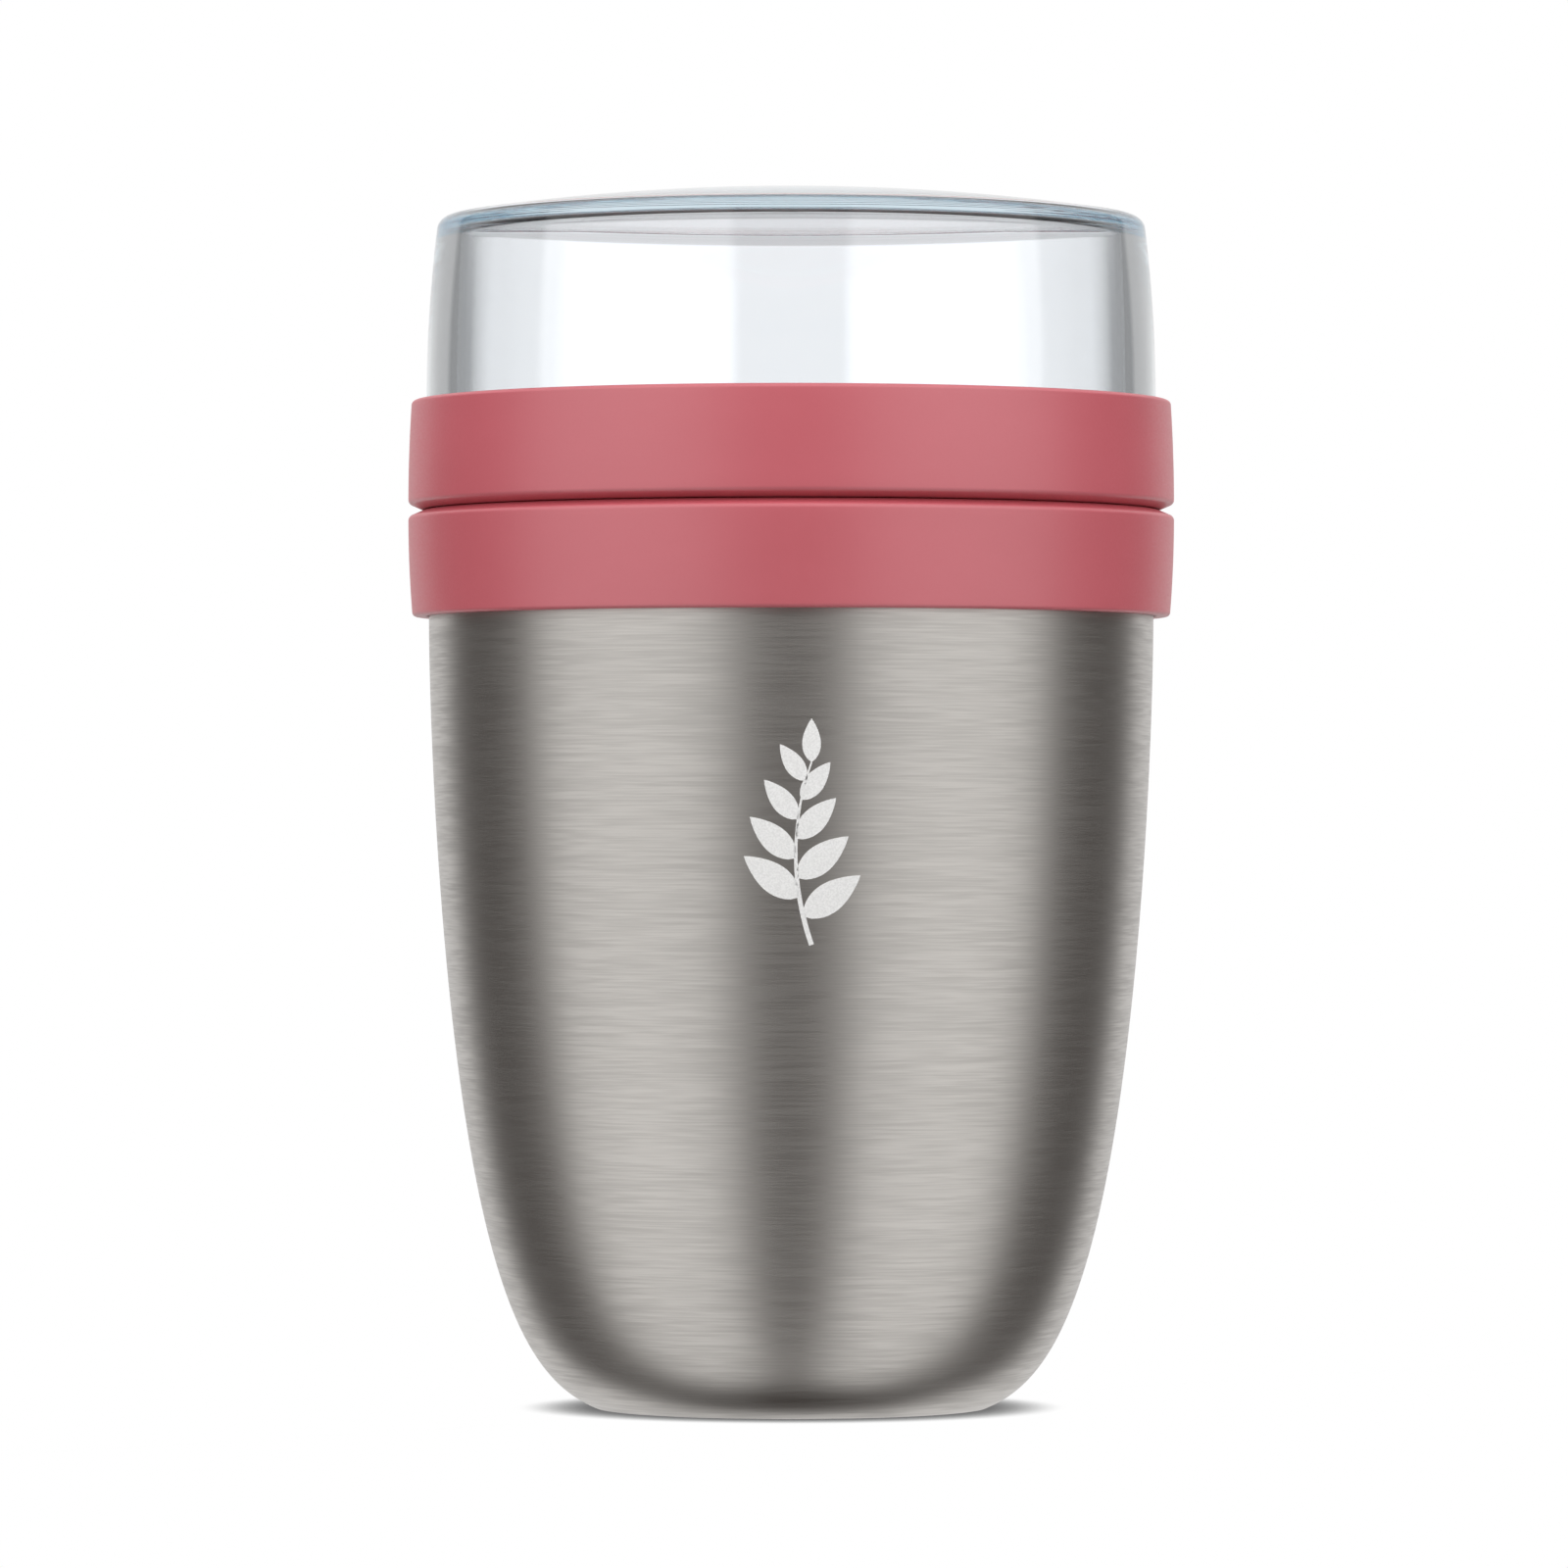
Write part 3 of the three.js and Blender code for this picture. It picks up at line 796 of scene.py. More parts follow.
@dataclass
class Thread:
    """The lugs that both screw joints have: sections that climb round the axis, one for each start."""

    starts: int = 4
    lead: float = 0.012
    height: float = 0.0013
    base: float = 0.0014
    tip: float = 0.0008
    root: float = 0.0006  # how deep a lug is sunk into its wall
    fade: float = 0.12  # share of a lug in which each end tapers
    end_size: float = 0.2
    tree: Tree = field(init=False)

    def __post_init__(self) -> None:
        """Draws the lugs' tree, which all the threads share."""
        self.tree = self.lug_tree()

    @property
    def width(self) -> float:
        """The width of a lug at half its height."""
        return (self.base + self.tip) / 2

    @staticmethod
    def lug_tree() -> Tree:
        """Draws the tree of a thread.

        Returns:
            The tree, with the lugs' sizes as its inputs.
        """
        lengths = ["Root Radius", "Depth", "Base", "Tip", "Foot", "Rise", "Sweep", "Fade", "End Size"]
        tree = Tree("thread_lugs", {Kind.LENGTH: lengths, Kind.COUNT: ["Starts", "Facets"]})
        given = tree.given
        climb = {
            "Resolution": given["Facets"],
            "Rotations": tree.math("DIVIDE", given["Sweep"], math.tau),
            "Start Radius": given["Root Radius"],
            "End Radius": given["Root Radius"],
            "Height": given["Rise"],
            "Reverse": True,
        }
        path = tree.out("GeometryNodeCurveSpiral", climb)
        half_base = tree.math("DIVIDE", given["Base"], 2.0)
        half_tip = tree.math("DIVIDE", given["Tip"], 2.0)
        section = {
            "Point 1": tree.vector(0.0, half_base),
            "Point 2": tree.vector(given["Depth"], half_tip),
            "Point 3": tree.vector(given["Depth"], tree.minus(half_tip)),
            "Point 4": tree.vector(0.0, tree.minus(half_base)),
        }
        along = tree.out("GeometryNodeSplineParameter", output="Factor")
        from_end = tree.math("MINIMUM", along, tree.math("SUBTRACT", 1.0, along))
        swell = tree.math("DIVIDE", from_end, given["Fade"])
        sweep = {
            "Curve": tree.out("GeometryNodeSetCurveNormal", {"Curve": path}, mode="Z_UP"),
            "Profile Curve": tree.out("GeometryNodeCurvePrimitiveQuadrilateral", section, mode="POINTS"),
            "Scale": tree.remap(swell, 0.0, 1.0, given["End Size"]),
            "Fill Caps": True,
        }
        step = tree.math("DIVIDE", math.tau, given["Starts"])
        turn = tree.math("MULTIPLY", tree.out("GeometryNodeInputIndex"), step)
        copies = {
            "Points": tree.out("GeometryNodePoints", {"Count": given["Starts"]}),
            "Instance": tree.out("GeometryNodeCurveToMesh", sweep),
            "Rotation": tree.vector(z=turn),
        }
        lugs = tree.out("GeometryNodeInstanceOnPoints", copies)
        lift = {"Geometry": lugs, "Translation": tree.vector(z=given["Foot"])}
        tree.close(tree.out("GeometryNodeTransform", lift))
        return tree

    def lugs(self, wall: float, facing: Facing, foot: float, sweep: float, finish: Finish) -> Piece:
        """Makes the lugs of one thread.

        Args:
            wall: radius of the wall that carries the lugs.
            facing: which way they stand from it.
            foot: height of their middle where they start.
            sweep: the angle that each goes round.
            finish: their finish.

        Returns:
            The lugs as one object.
        """
        side = facing.value
        values = {
            "Starts": self.starts,
            "Facets": FACETS,
            "Root Radius": wall - side * self.root,
            "Depth": side * (self.root + self.height),
            "Base": self.base,
            "Tip": self.tip,
            "Foot": foot,
            "Rise": self.lead * sweep / math.tau,
            "Sweep": sweep,
            "Fade": self.fade,
            "End Size": self.end_size,
            "Material": finish.material(),
        }
        return self.tree.grow("lugs", values)


@dataclass(frozen=True)
class Sprig:
    """The pale leaf sprig etched on the front of the steel."""

    height: float = 0.0255
    bend: float = 0.0022
    stem_width: float = 0.0007
    stem_taper: float = 0.35
    stem_steps: int = 40
    bare_share: float = 0.16  # of the stem, below the lowest leaf
    leaves: int = 9
    leaf_length: float = 0.0098
    leaf_width: float = 0.0042
    leaf_grid: tuple[int, int] = (5, 14)
    belly: float = 0.8  # under 1, a leaf is widest below its middle
    fullness: float = 0.85
    lean: Point = (0.95, 0.6)  # of the lowest leaf and the highest, in radians
    last_leaf: float = 0.62  # size of the highest leaf against the lowest
    foot: float = 0.0675
    side: float = 0.0006
    lift: float = -0.00001  # its back lies just inside the steel, so that no gap shows
    relief: float = 0.00005
    ahead: float = 0.2  # how far in front of the axis it is drawn, before it is laid on the wall
    throw: float = 1.0  # the most that it moves back to the wall

    def etched(self, wall: Piece) -> Piece:
        """Makes the sprig.

        Args:
            wall: the steel that it is etched on.

        Returns:
            The sprig.
        """
        values = {
            "Height": self.height,
            "Bend": self.bend,
            "Stem Width": self.stem_width,
            "Leaf Length": self.leaf_length,
            "Leaf Width": self.leaf_width,
            "Leaves": self.leaves,
            "Foot": self.foot,
            "Side": self.side,
            "Lift": self.lift,
            "Relief": self.relief,
            "Wall": wall,
            "Material": ETCHING.material(),
        }
        return self.tree().grow("leaf_sprig", values)

    def tree(self) -> Tree:
        """Draws the tree: a bent stem and its leaves, laid on the steel.

        Returns:
            The tree, with the sprig's sizes as its inputs.
        """
        drawing = ["Height", "Bend", "Stem Width", "Leaf Length", "Leaf Width"]
        lengths = [*drawing, "Foot", "Side", "Lift", "Relief"]
        tree = Tree("leaf_sprig", {Kind.LENGTH: lengths, Kind.COUNT: ["Leaves"], Kind.PIECE: ["Wall"]})
        bend, height = tree.given["Bend"], tree.given["Height"]
        curve = {
            "Start": tree.vector(bend),
            "Middle": tree.vector(tree.minus(bend), tree.math("DIVIDE", height, 2.0)),
            "End": tree.vector(bend, height),
            "Resolution": self.stem_steps,
        }
        line = tree.out("GeometryNodeCurveQuadraticBezier", curve)
        flat = tree.joined(self.stem(tree, line), self.leaf_row(tree, line))
        tree.close(self.laid_on_wall(tree, flat))
        return tree

    def stem(self, tree: Tree, line: Socket) -> Socket:
        """Draws the stem, which tapers upwards.

        Args:
            tree: the tree that it is drawn in.
            line: the line that it follows.

        Returns:
            The stem's flat mesh.
        """
        half_width = tree.math("DIVIDE", tree.given["Stem Width"], 2.0)
        ends = {"Start": tree.vector(tree.minus(half_width)), "End": tree.vector(half_width)}
        along = tree.out("GeometryNodeSplineParameter", output="Factor")
        sweep = {
            "Curve": tree.out("GeometryNodeSetCurveNormal", {"Curve": line}, mode="Z_UP"),
            "Profile Curve": tree.out("GeometryNodeCurvePrimitiveLine", ends),
            "Scale": tree.remap(along, 0.0, 1.0, 1.0, self.stem_taper),
        }
        return tree.out("GeometryNodeCurveToMesh", sweep)

    def leaf_row(self, tree: Tree, line: Socket) -> Socket:
        """Draws the leaves, in turn left and right of the stem, with one upright at its tip.

        Args:
            tree: the tree that they are drawn in.
            line: the line of the stem.

        Returns:
            The leaves' flat mesh.
        """
        leafy = tree.out("GeometryNodeTrimCurve", {"Curve": line, 2: self.bare_share, 3: 1.0})
        number = tree.out("GeometryNodeInputIndex")
        last = tree.math("SUBTRACT", tree.given["Leaves"], 1.0)
        share = tree.math("DIVIDE", number, last)
        side = tree.math("SUBTRACT", tree.math("MULTIPLY", tree.math("MODULO", number, 2.0), 2.0), 1.0)
        lean = tree.math("MULTIPLY", side, tree.remap(share, 0.0, 1.0, *self.lean))
        below_tip = tree.math("SUBTRACT", 1.0, tree.math("COMPARE", number, last, 0.5))
        size = tree.remap(share, 0.0, 1.0, 1.0, self.last_leaf)
        places = {"Curve": leafy, "Count": tree.given["Leaves"]}
        copies = {
            "Points": tree.out("GeometryNodeCurveToPoints", places, output="Points"),
            "Instance": self.leaf(tree),
            "Rotation": tree.vector(z=tree.math("MULTIPLY", lean, below_tip)),
            "Scale": tree.vector(size, size, size),
        }
        leaves = tree.out("GeometryNodeInstanceOnPoints", copies)
        return tree.out("GeometryNodeRealizeInstances", {"Geometry": leaves})

    def leaf(self, tree: Tree) -> Socket:
        """Draws one pointed leaf in the XY plane, from the origin along +Y.

        Args:
            tree: the tree that it is drawn in.

        Returns:
            The leaf's mesh.
        """
        columns, rows = self.leaf_grid
        sheet = {"Size X": 1.0, "Size Y": 1.0, "Vertices X": columns, "Vertices Y": rows}
        grid = tree.out("GeometryNodeMeshGrid", sheet, output="Mesh")
        x, y, _ = tree.axes(tree.out("GeometryNodeInputPosition"))
        along = tree.math("ADD", y, 0.5)
        bulge = tree.math("SINE", tree.math("MULTIPLY", tree.math("POWER", along, self.belly), math.pi))
        full = tree.math("POWER", tree.math("MAXIMUM", bulge, 0.0), self.fullness)
        across = tree.math("MULTIPLY", tree.math("MULTIPLY", x, tree.given["Leaf Width"]), full)
        shaped = tree.vector(across, tree.math("MULTIPLY", along, tree.given["Leaf Length"]))
        return tree.out("GeometryNodeSetPosition", {"Geometry": grid, "Position": shaped})

    def laid_on_wall(self, tree: Tree, flat: Socket) -> Socket:
        """Lays a flat drawing on the front of the wall and gives it a little relief.

        Args:
            tree: the tree that it is drawn in.
            flat: the drawing, in the XY plane.

        Returns:
            The closed relief.
        """
        given = tree.given
        x, y, _ = tree.axes(tree.out("GeometryNodeInputPosition"))
        across = tree.math("ADD", x, given["Side"])
        upwards = tree.math("ADD", y, given["Foot"])
        wall = tree.out("GeometryNodeObjectInfo", {"Object": given["Wall"]}, output="Geometry")
        cast = {
            "Target Geometry": wall,
            "Source Position": tree.vector(across, -self.ahead, upwards),
            "Ray Direction": (0.0, 1.0, 0.0),
            "Ray Length": self.throw,
        }
        ray = tree.add("GeometryNodeRaycast", cast).outputs
        scaled = {0: ray["Hit Normal"], "Scale": given["Lift"]}
        lift = tree.out("ShaderNodeVectorMath", scaled, operation="SCALE")
        target = tree.out("ShaderNodeVectorMath", {0: ray["Hit Position"], 1: lift}, operation="ADD")
        base = tree.out("GeometryNodeSetPosition", {"Geometry": flat, "Position": target})
        rise = {
            "Mesh": base,
            "Offset": (0.0, -1.0, 0.0),
            "Offset Scale": given["Relief"],
            "Individual": False,
        }
        raised = tree.out("GeometryNodeExtrudeMesh", rise, output="Mesh")
        back = tree.out("GeometryNodeFlipFaces", {"Mesh": base})
        return tree.welded(tree.joined(raised, back))


@dataclass(frozen=True)
class RibbedSeal:
    """A flat rubber ring with round ribs on its underside."""

    name: str
    ribs: int
    depth: float  # of the valleys between the ribs
    rib_foot: float = 0.12  # share of the pitch where a rib starts
    rib_face: float = 0.35  # share of the pitch where its face starts

    def turned(self, lathe: Lathe, span: Span, inner: float) -> Piece:
        """Makes the ring.

        Args:
            lathe: what turns it.
            span: how far it reaches.
            inner: its inside radius.

        Returns:
            The ring.
        """
        pitch = (span.radius - inner) / self.ribs
        face, valley = span.foot, span.foot + self.depth
        rise = [(self.rib_foot, valley), (self.rib_face, face)]
        fall = [(1 - share, height) for share, height in reversed(rise)]
        outline: list[Point] = []
        for i in range(self.ribs):
            start = inner + i * pitch
            outline += [(start + pitch * share, height) for share, height in rise + fall]
        outline += [(span.radius, valley), (span.radius, span.top), (inner, span.top), (inner, valley)]
        corners = [Corner(*point, self.depth) for point in outline]
        return lathe.turned(self.name, corners, SILICONE, closed=True)


@dataclass
class SteelPot:
    """The double-walled steel pot with its base."""

    lathe: Lathe
    sprig: Sprig = Sprig()
    wall: float = 0.0006
    tip_drop: float = 0.0019
    foot_land: float = 0.003
    flange_width: float = 0.004
    shoulder_lift: float = 0.002
    shoulder_rise: float = 0.006
    shoulder_round: float = 0.0024
    neck_gap: float = 0.00065
    rim_reach: float = 0.003
    rim_round: float = 0.00028
    foil_gap: float = 0.0003
    foil_thickness: float = 0.00025
    bead_stem: float = 0.0012
    getter_offset: float = 0.01
    cover_ring: Point = (0.0165, 0.0205)
    cover_ring_depth: float = 0.0002

    @property
    def top(self) -> float:
        """Height where the steel goes under the collar."""
        return Span.of("pot_collar").foot

    @property
    def vessel_radius(self) -> float:
        """Outside radius of the food vessel."""
        return Span.of("inner_vessel").radius - self.rim_reach

    @property
    def neck_radius(self) -> float:
        """Outside radius of the outer wall's neck."""
        return self.vessel_radius + self.neck_gap + self.wall

    def build(self) -> None:
        """Builds and fits the pot's pieces."""
        steel = self.shell()
        fit(steel, Body.POT, Slot.BRUSHED_STEEL, "outer_shell")
        fit(self.vessel(), Body.POT, Slot.INNER_STEEL, "inner_vessel")
        fit(self.foil(), Body.POT, Slot.FOIL, "radiation_foil")
        fit(self.plate(), Body.POT, Slot.INNER_STEEL, "base_plate")
        fit(self.bead(), Body.POT, Slot.SOLDER_GLASS, "vacuum_seal")
        fit(self.getter(), Body.POT, Slot.PELLET, "getter")
        fit(self.cover(), Body.POT, Slot.INNER_STEEL, "base_cover")
        fit(self.sprig.etched(steel), Body.POT, None)

    def shell(self) -> Piece:
        """Makes the outside wall, from its foot ring to the hidden neck.

        Returns:
            The wall.
        """
        span = Span.of("outer_shell")
        top, wall, neck, bend = self.top, self.wall, self.neck_radius, self.shoulder_round
        outside = Bowl(span.radius, top, -self.tip_drop).outline(top, 0.0)
        inside = Bowl(span.radius - wall, top, wall - self.tip_drop).outline(top, wall)
        shoulder_foot = top + self.shoulder_lift
        shoulder_top = shoulder_foot + self.shoulder_rise
        foot_radius = outside[-1][0]
        recess = foot_radius - self.foot_land
        flange_foot = Span.of("getter").foot
        flange_bore = recess - self.flange_width
        corners = [
            *sharp(reversed(outside)),
            Corner(span.radius, shoulder_foot, bend),
            Corner(neck, shoulder_top, bend),
            Corner(neck, span.top),
            Corner(neck - wall, span.top),
            Corner(neck - wall, shoulder_top - wall / 2, bend),
            Corner(span.radius - wall, shoulder_foot - wall / 2, bend),
            *sharp(inside),
            Corner(recess + wall, wall),
            Corner(recess + wall, flange_foot + wall),
            Corner(flange_bore, flange_foot + wall),
            Corner(flange_bore, flange_foot),
            Corner(recess, flange_foot, wall),
            Corner(recess, 0.0, wall),
        ]
        return self.lathe.turned("steel_wall", corners, STEEL, closed=True)

    def vessel(self) -> Piece:
        """Makes the food vessel, with its rim rolled out over the collar.

        Returns:
            The vessel.
        """
        span = Span.of("inner_vessel")
        top, wall, radius = self.top, self.wall, self.vessel_radius
        inside = Bowl(radius - wall, top, span.foot + wall).outline(top, span.foot + wall)
        outside = Bowl(radius, top, span.foot).outline(top, span.foot)
        corners = [
            *sharp(reversed(inside)),
            Corner(radius - wall, span.top, 3 * self.rim_round),
            Corner(span.radius, span.top, self.rim_round),
            Corner(span.radius, span.top - wall, self.rim_round),
            Corner(radius, span.top - wall, self.rim_round),
            *sharp(outside),
        ]
        return self.lathe.turned("food_vessel", corners, SATIN_STEEL)

    def foil(self) -> Piece:
        """Makes the reflecting foil close round the vessel.

        Returns:
            The foil.
        """
        radius = self.vessel_radius + self.foil_gap
        tip = Span.of("inner_vessel").foot - self.foil_gap
        thick = self.foil_thickness
        edge = Span.of("radiation_foil").top
        inside = Bowl(radius, self.top, tip).outline(edge, tip)
        outside = Bowl(radius + thick, self.top, tip - thick).outline(edge, tip - thick)
        return self.lathe.turned("foil_wrap", sharp([*reversed(inside), *outside]), FOIL)

    def plate(self) -> Piece:
        """Makes the disc welded into the base, with its evacuation hole.

        Returns:
            The disc.
        """
        span = Span.of("base_plate")
        hole = self.bead_stem + self.foil_gap
        outline = [(hole, span.foot), (span.radius, span.foot), (span.radius, span.top), (hole, span.top)]
        corners = [Corner(*point, self.wall / 4) for point in outline]
        return self.lathe.turned("base_disc", corners, SATIN_STEEL, closed=True)

    def bead(self) -> Piece:
        """Makes the bead that closes the evacuation hole.

        Returns:
            The bead.
        """
        span = Span.of("vacuum_seal")
        brim = Span.of("base_plate").foot - self.wall / 3
        corners = [
            Corner(0.0, span.foot),
            Corner(span.radius, span.foot, self.wall),
            Corner(span.radius, brim, self.wall / 4),
            Corner(self.bead_stem, brim, self.wall / 4),
            Corner(self.bead_stem, span.top, self.wall / 4),
            Corner(0.0, span.top),
        ]
        return self.lathe.turned("solder_bead", corners, SOLDER_GLASS, facets=SMALL_FACETS)

    def getter(self) -> Piece:
        """Makes the pellet that keeps the vacuum.

        Returns:
            The pellet.
        """
        span = Span.of("getter")
        radius = span.radius - self.getter_offset
        corners = [
            Corner(0.0, span.foot),
            Corner(radius, span.foot, self.wall / 2),
            Corner(radius, span.top, self.wall / 2),
            Corner(0.0, span.top),
        ]
        pellet = self.lathe.turned("getter_pellet", corners, POWDER, facets=SMALL_FACETS)
        pellet.data.transform(Matrix.Translation((self.getter_offset, 0.0, 0.0)))
        return pellet

    def cover(self) -> Piece:
        """Makes the thin disc under the base, with a pressed ring.

        Returns:
            The disc.
        """
        span = Span.of("base_cover")
        inner, outer = self.cover_ring
        depth = self.cover_ring_depth
        corners = [
            Corner(0.0, span.foot),
            Corner(inner, span.foot, depth),
            Corner(inner + 2 * depth, span.foot + depth, depth),
            Corner(outer, span.foot + depth, depth),
            Corner(outer + 2 * depth, span.foot, depth),
            Corner(span.radius, span.foot, depth),
            Corner(span.radius, span.top),
            Corner(0.0, span.top),
        ]
        return self.lathe.turned("foot_cover", corners, SATIN_STEEL)


@dataclass
class Collar:
    """The coral band fixed round the top of the steel, with its threaded neck and its gasket."""

    lathe: Lathe
    pot: SteelPot
    thread: Thread
    parting: float = 0.0004
    seam: float = 0.00015
    groove_depth: float = 0.0021
    groove_bevel: float = 0.0009
    bevel_round: float = 0.0008
    draft: float = 0.0006
    edge: float = 0.0007
    ledge: float = 0.0022
    neck_wall: float = 0.002
    neck_core: float = 0.0017
    clearance: float = 0.0003
    seat: float = 0.0002
    crest_gap: float = 0.0004
    ring_wall: float = 0.00235
    lug_inset: float = 0.0004
    flank_gap: float = 0.0002
    lug_sweep: float = math.radians(60)
    side_steps: int = 12

    @property
    def root(self) -> float:
        """Radius of the necks that carry lugs inside the lid ring."""
        return Span.of("lid_ring").radius - self.ring_wall - self.crest_gap - self.thread.height

    @property
    def bore(self) -> float:
        """Inside radius of what goes round the steel neck."""
        return self.pot.neck_radius + self.clearance

    @property
    def lug_spacing(self) -> float:
        """How far apart the middles of two lugs are that slide on each other."""
        return self.thread.width + self.flank_gap

    @property
    def side_shares(self) -> list[float]:
        """The steps up the bowed side of a band, as shares of its height."""
        return [i / self.side_steps for i in range(1, self.side_steps)]

    def build(self) -> None:
        """Builds and fits the collar and its gasket."""
        fit(self.band(), Body.POT, Slot.CORAL, "pot_collar")
        fit(self.gasket(), Body.POT, Slot.SILICONE, "collar_gasket")

    def band(self) -> Piece:
        """Makes the band with the hollow neck over it and the lugs round the neck.

        Returns:
            The band.
        """
        span, lid = Span.of("pot_collar"), Span.of("lid_ring")
        top = lid.foot - self.parting
        skirt = Span.of("outer_shell").radius + self.clearance
        root, bore, small = self.root, self.bore, self.clearance
        sleeve = root - self.neck_wall - self.neck_core
        sleeve_foot = Span.of("collar_gasket").top + self.seat
        rise = top - self.groove_bevel - span.foot
        side = [(span.radius - self.draft * (1 - s) ** 2, span.foot + rise * s) for s in self.side_shares]
        corners = [
            Corner(skirt, span.foot, small),
            Corner(span.radius - self.draft, span.foot, self.edge),
            *sharp(side),
            Corner(span.radius, top - self.groove_bevel, self.bevel_round),
            Corner(span.radius - self.groove_depth, top, self.seam),
            Corner(root, top, small),
            Corner(root, span.top, self.crest_gap),
            Corner(bore, span.top, small),
            Corner(bore, sleeve_foot),
            Corner(sleeve, sleeve_foot),
            Corner(sleeve, span.top - self.neck_wall, small),
            Corner(root - self.neck_wall, span.top - self.neck_wall, small),
            Corner(root - self.neck_wall, top - self.ledge),
            Corner(skirt, top - self.ledge, small),
        ]
        band = self.lathe.turned("collar_band", corners, CORAL, closed=True)
        foot = lid.foot + self.lug_inset + self.thread.base / 2 + self.lug_spacing
        return fused(band, self.thread.lugs(root, Facing.OUTWARDS, foot, self.lug_sweep, CORAL))

    def gasket(self) -> Piece:
        """Makes the wedge-shaped ring between the steel shoulder and the collar.

        Returns:
            The ring.
        """
        span, bore = Span.of("collar_gasket"), self.bore
        slope = self.pot.shoulder_rise / (Span.of("outer_shell").radius - self.pot.neck_radius)
        inner_foot = span.foot + (span.radius - bore) * slope
        outline = [(bore, inner_foot), (span.radius, span.foot), (span.radius, span.top), (bore, span.top)]
        corners = [Corner(*point, self.clearance / 2) for point in outline]
        return self.lathe.turned("shoulder_gasket", corners, SILICONE, closed=True)


@dataclass
class Lid:
    """The coral screw ring with its partition, plug, foam and seal."""

    lathe: Lathe
    collar: Collar
    thread: Thread
    rim_seal: RibbedSeal = RibbedSeal("rim_seal", 3, 0.00025)
    draft: float = 0.0005
    edge: float = 0.0009
    partition: float = 0.0016
    dish_depth: float = 0.0003
    spigot_length: float = 0.004
    spigot_wall: float = 0.0016
    plug_wall: float = 0.0016
    plug_round: float = 0.0013
    plug_ring: Point = (0.029, 0.0305)
    plug_ring_depth: float = 0.00025
    upper_sweep: float = math.radians(30)

    def build(self) -> None:
        """Builds and fits the lid's pieces."""
        fit(self.ring(), Body.LID, Slot.CORAL, "lid_ring")
        fit(self.plug(), Body.LID, Slot.CORAL, "lid_liner")
        fit(self.foam(), Body.LID, Slot.FOAM, "lid_insulation")
        seal_bore = Span.of("lid_liner").radius + self.collar.clearance
        seal = self.rim_seal.turned(self.lathe, Span.of("lid_seal"), seal_bore)
        fit(seal, Body.LID_SEAL, Slot.SILICONE, "lid_seal")

    def ring(self) -> Piece:
        """Makes the screw ring, with a thread on each side of its partition.

        Returns:
            The ring.
        """
        span, plug, collar = Span.of("lid_ring"), Span.of("lid_liner"), self.collar
        small = collar.clearance
        bore = span.radius - collar.ring_wall
        floor = plug.top + collar.seat
        ceiling = floor + self.partition
        spigot = plug.radius - self.plug_wall - small
        seat = Span.of("cup_seal").radius - 2 * self.partition
        foot = span.foot - collar.parting + collar.seam
        low = foot + collar.groove_bevel
        rise = span.top - low
        side = [(span.radius - self.draft * s**2, low + rise * s) for s in collar.side_shares]
        corners = [
            Corner(0.0, floor),
            Corner(spigot - self.spigot_wall, floor, small),
            Corner(spigot - self.spigot_wall, floor - self.spigot_length, small),
            Corner(spigot, floor - self.spigot_length, small),
            Corner(spigot, floor, small),
            Corner(bore, floor, 2 * small),
            Corner(bore, foot, collar.seam),
            Corner(span.radius - collar.groove_depth, foot, collar.seam),
            Corner(span.radius, low, collar.bevel_round),
            *sharp(side),
            Corner(span.radius - self.draft, span.top, self.edge),
            Corner(bore, span.top, small),
            Corner(bore, ceiling, 2 * small),
            Corner(seat, ceiling, small),
            Corner(seat - self.dish_depth, ceiling - self.dish_depth, small),
            Corner(0.0, ceiling - self.dish_depth),
        ]
        ring = self.lathe.turned("screw_ring", corners, CORAL)
        half_lug = self.thread.base / 2
        lower_foot = span.foot + collar.lug_inset + half_lug
        upper_foot = Span.of("topping_cup").foot + collar.flank_gap + half_lug + collar.lug_spacing
        lower_lugs = self.thread.lugs(bore, Facing.INWARDS, lower_foot, collar.lug_sweep, CORAL)
        upper_lugs = self.thread.lugs(bore, Facing.INWARDS, upper_foot, self.upper_sweep, CORAL)
        return fused(ring, lower_lugs, upper_lugs)

    def plug(self) -> Piece:
        """Makes the plug that reaches into the mouth, with a shallow ring in its underside.

        Returns:
            The plug.
        """
        span = Span.of("lid_liner")
        inner, outer = self.plug_ring
        depth, wall = self.plug_ring_depth, self.plug_wall
        corners = [
            Corner(0.0, span.foot),
            Corner(inner, span.foot, depth),
            Corner(inner + depth, span.foot + depth, depth),
            Corner(outer - depth, span.foot + depth, depth),
            Corner(outer, span.foot, depth),
            Corner(span.radius, span.foot, self.plug_round),
            Corner(span.radius, span.top, depth),
            Corner(span.radius - wall, span.top, depth),
            Corner(span.radius - wall, span.foot + wall, 2 * depth),
            Corner(0.0, span.foot + wall),
        ]
        return self.lathe.turned("mouth_plug", corners, CORAL)

    def foam(self) -> Piece:
        """Makes the foam disc inside the plug.

        Returns:
            The disc.
        """
        span = Span.of("lid_insulation")
        corners = [
            Corner(0.0, span.foot),
            Corner(span.radius, span.foot, self.plug_wall / 2),
            Corner(span.radius, span.top, self.plug_wall / 2),
            Corner(0.0, span.top),
        ]
        return self.lathe.turned("plug_foam", corners, FOAM)


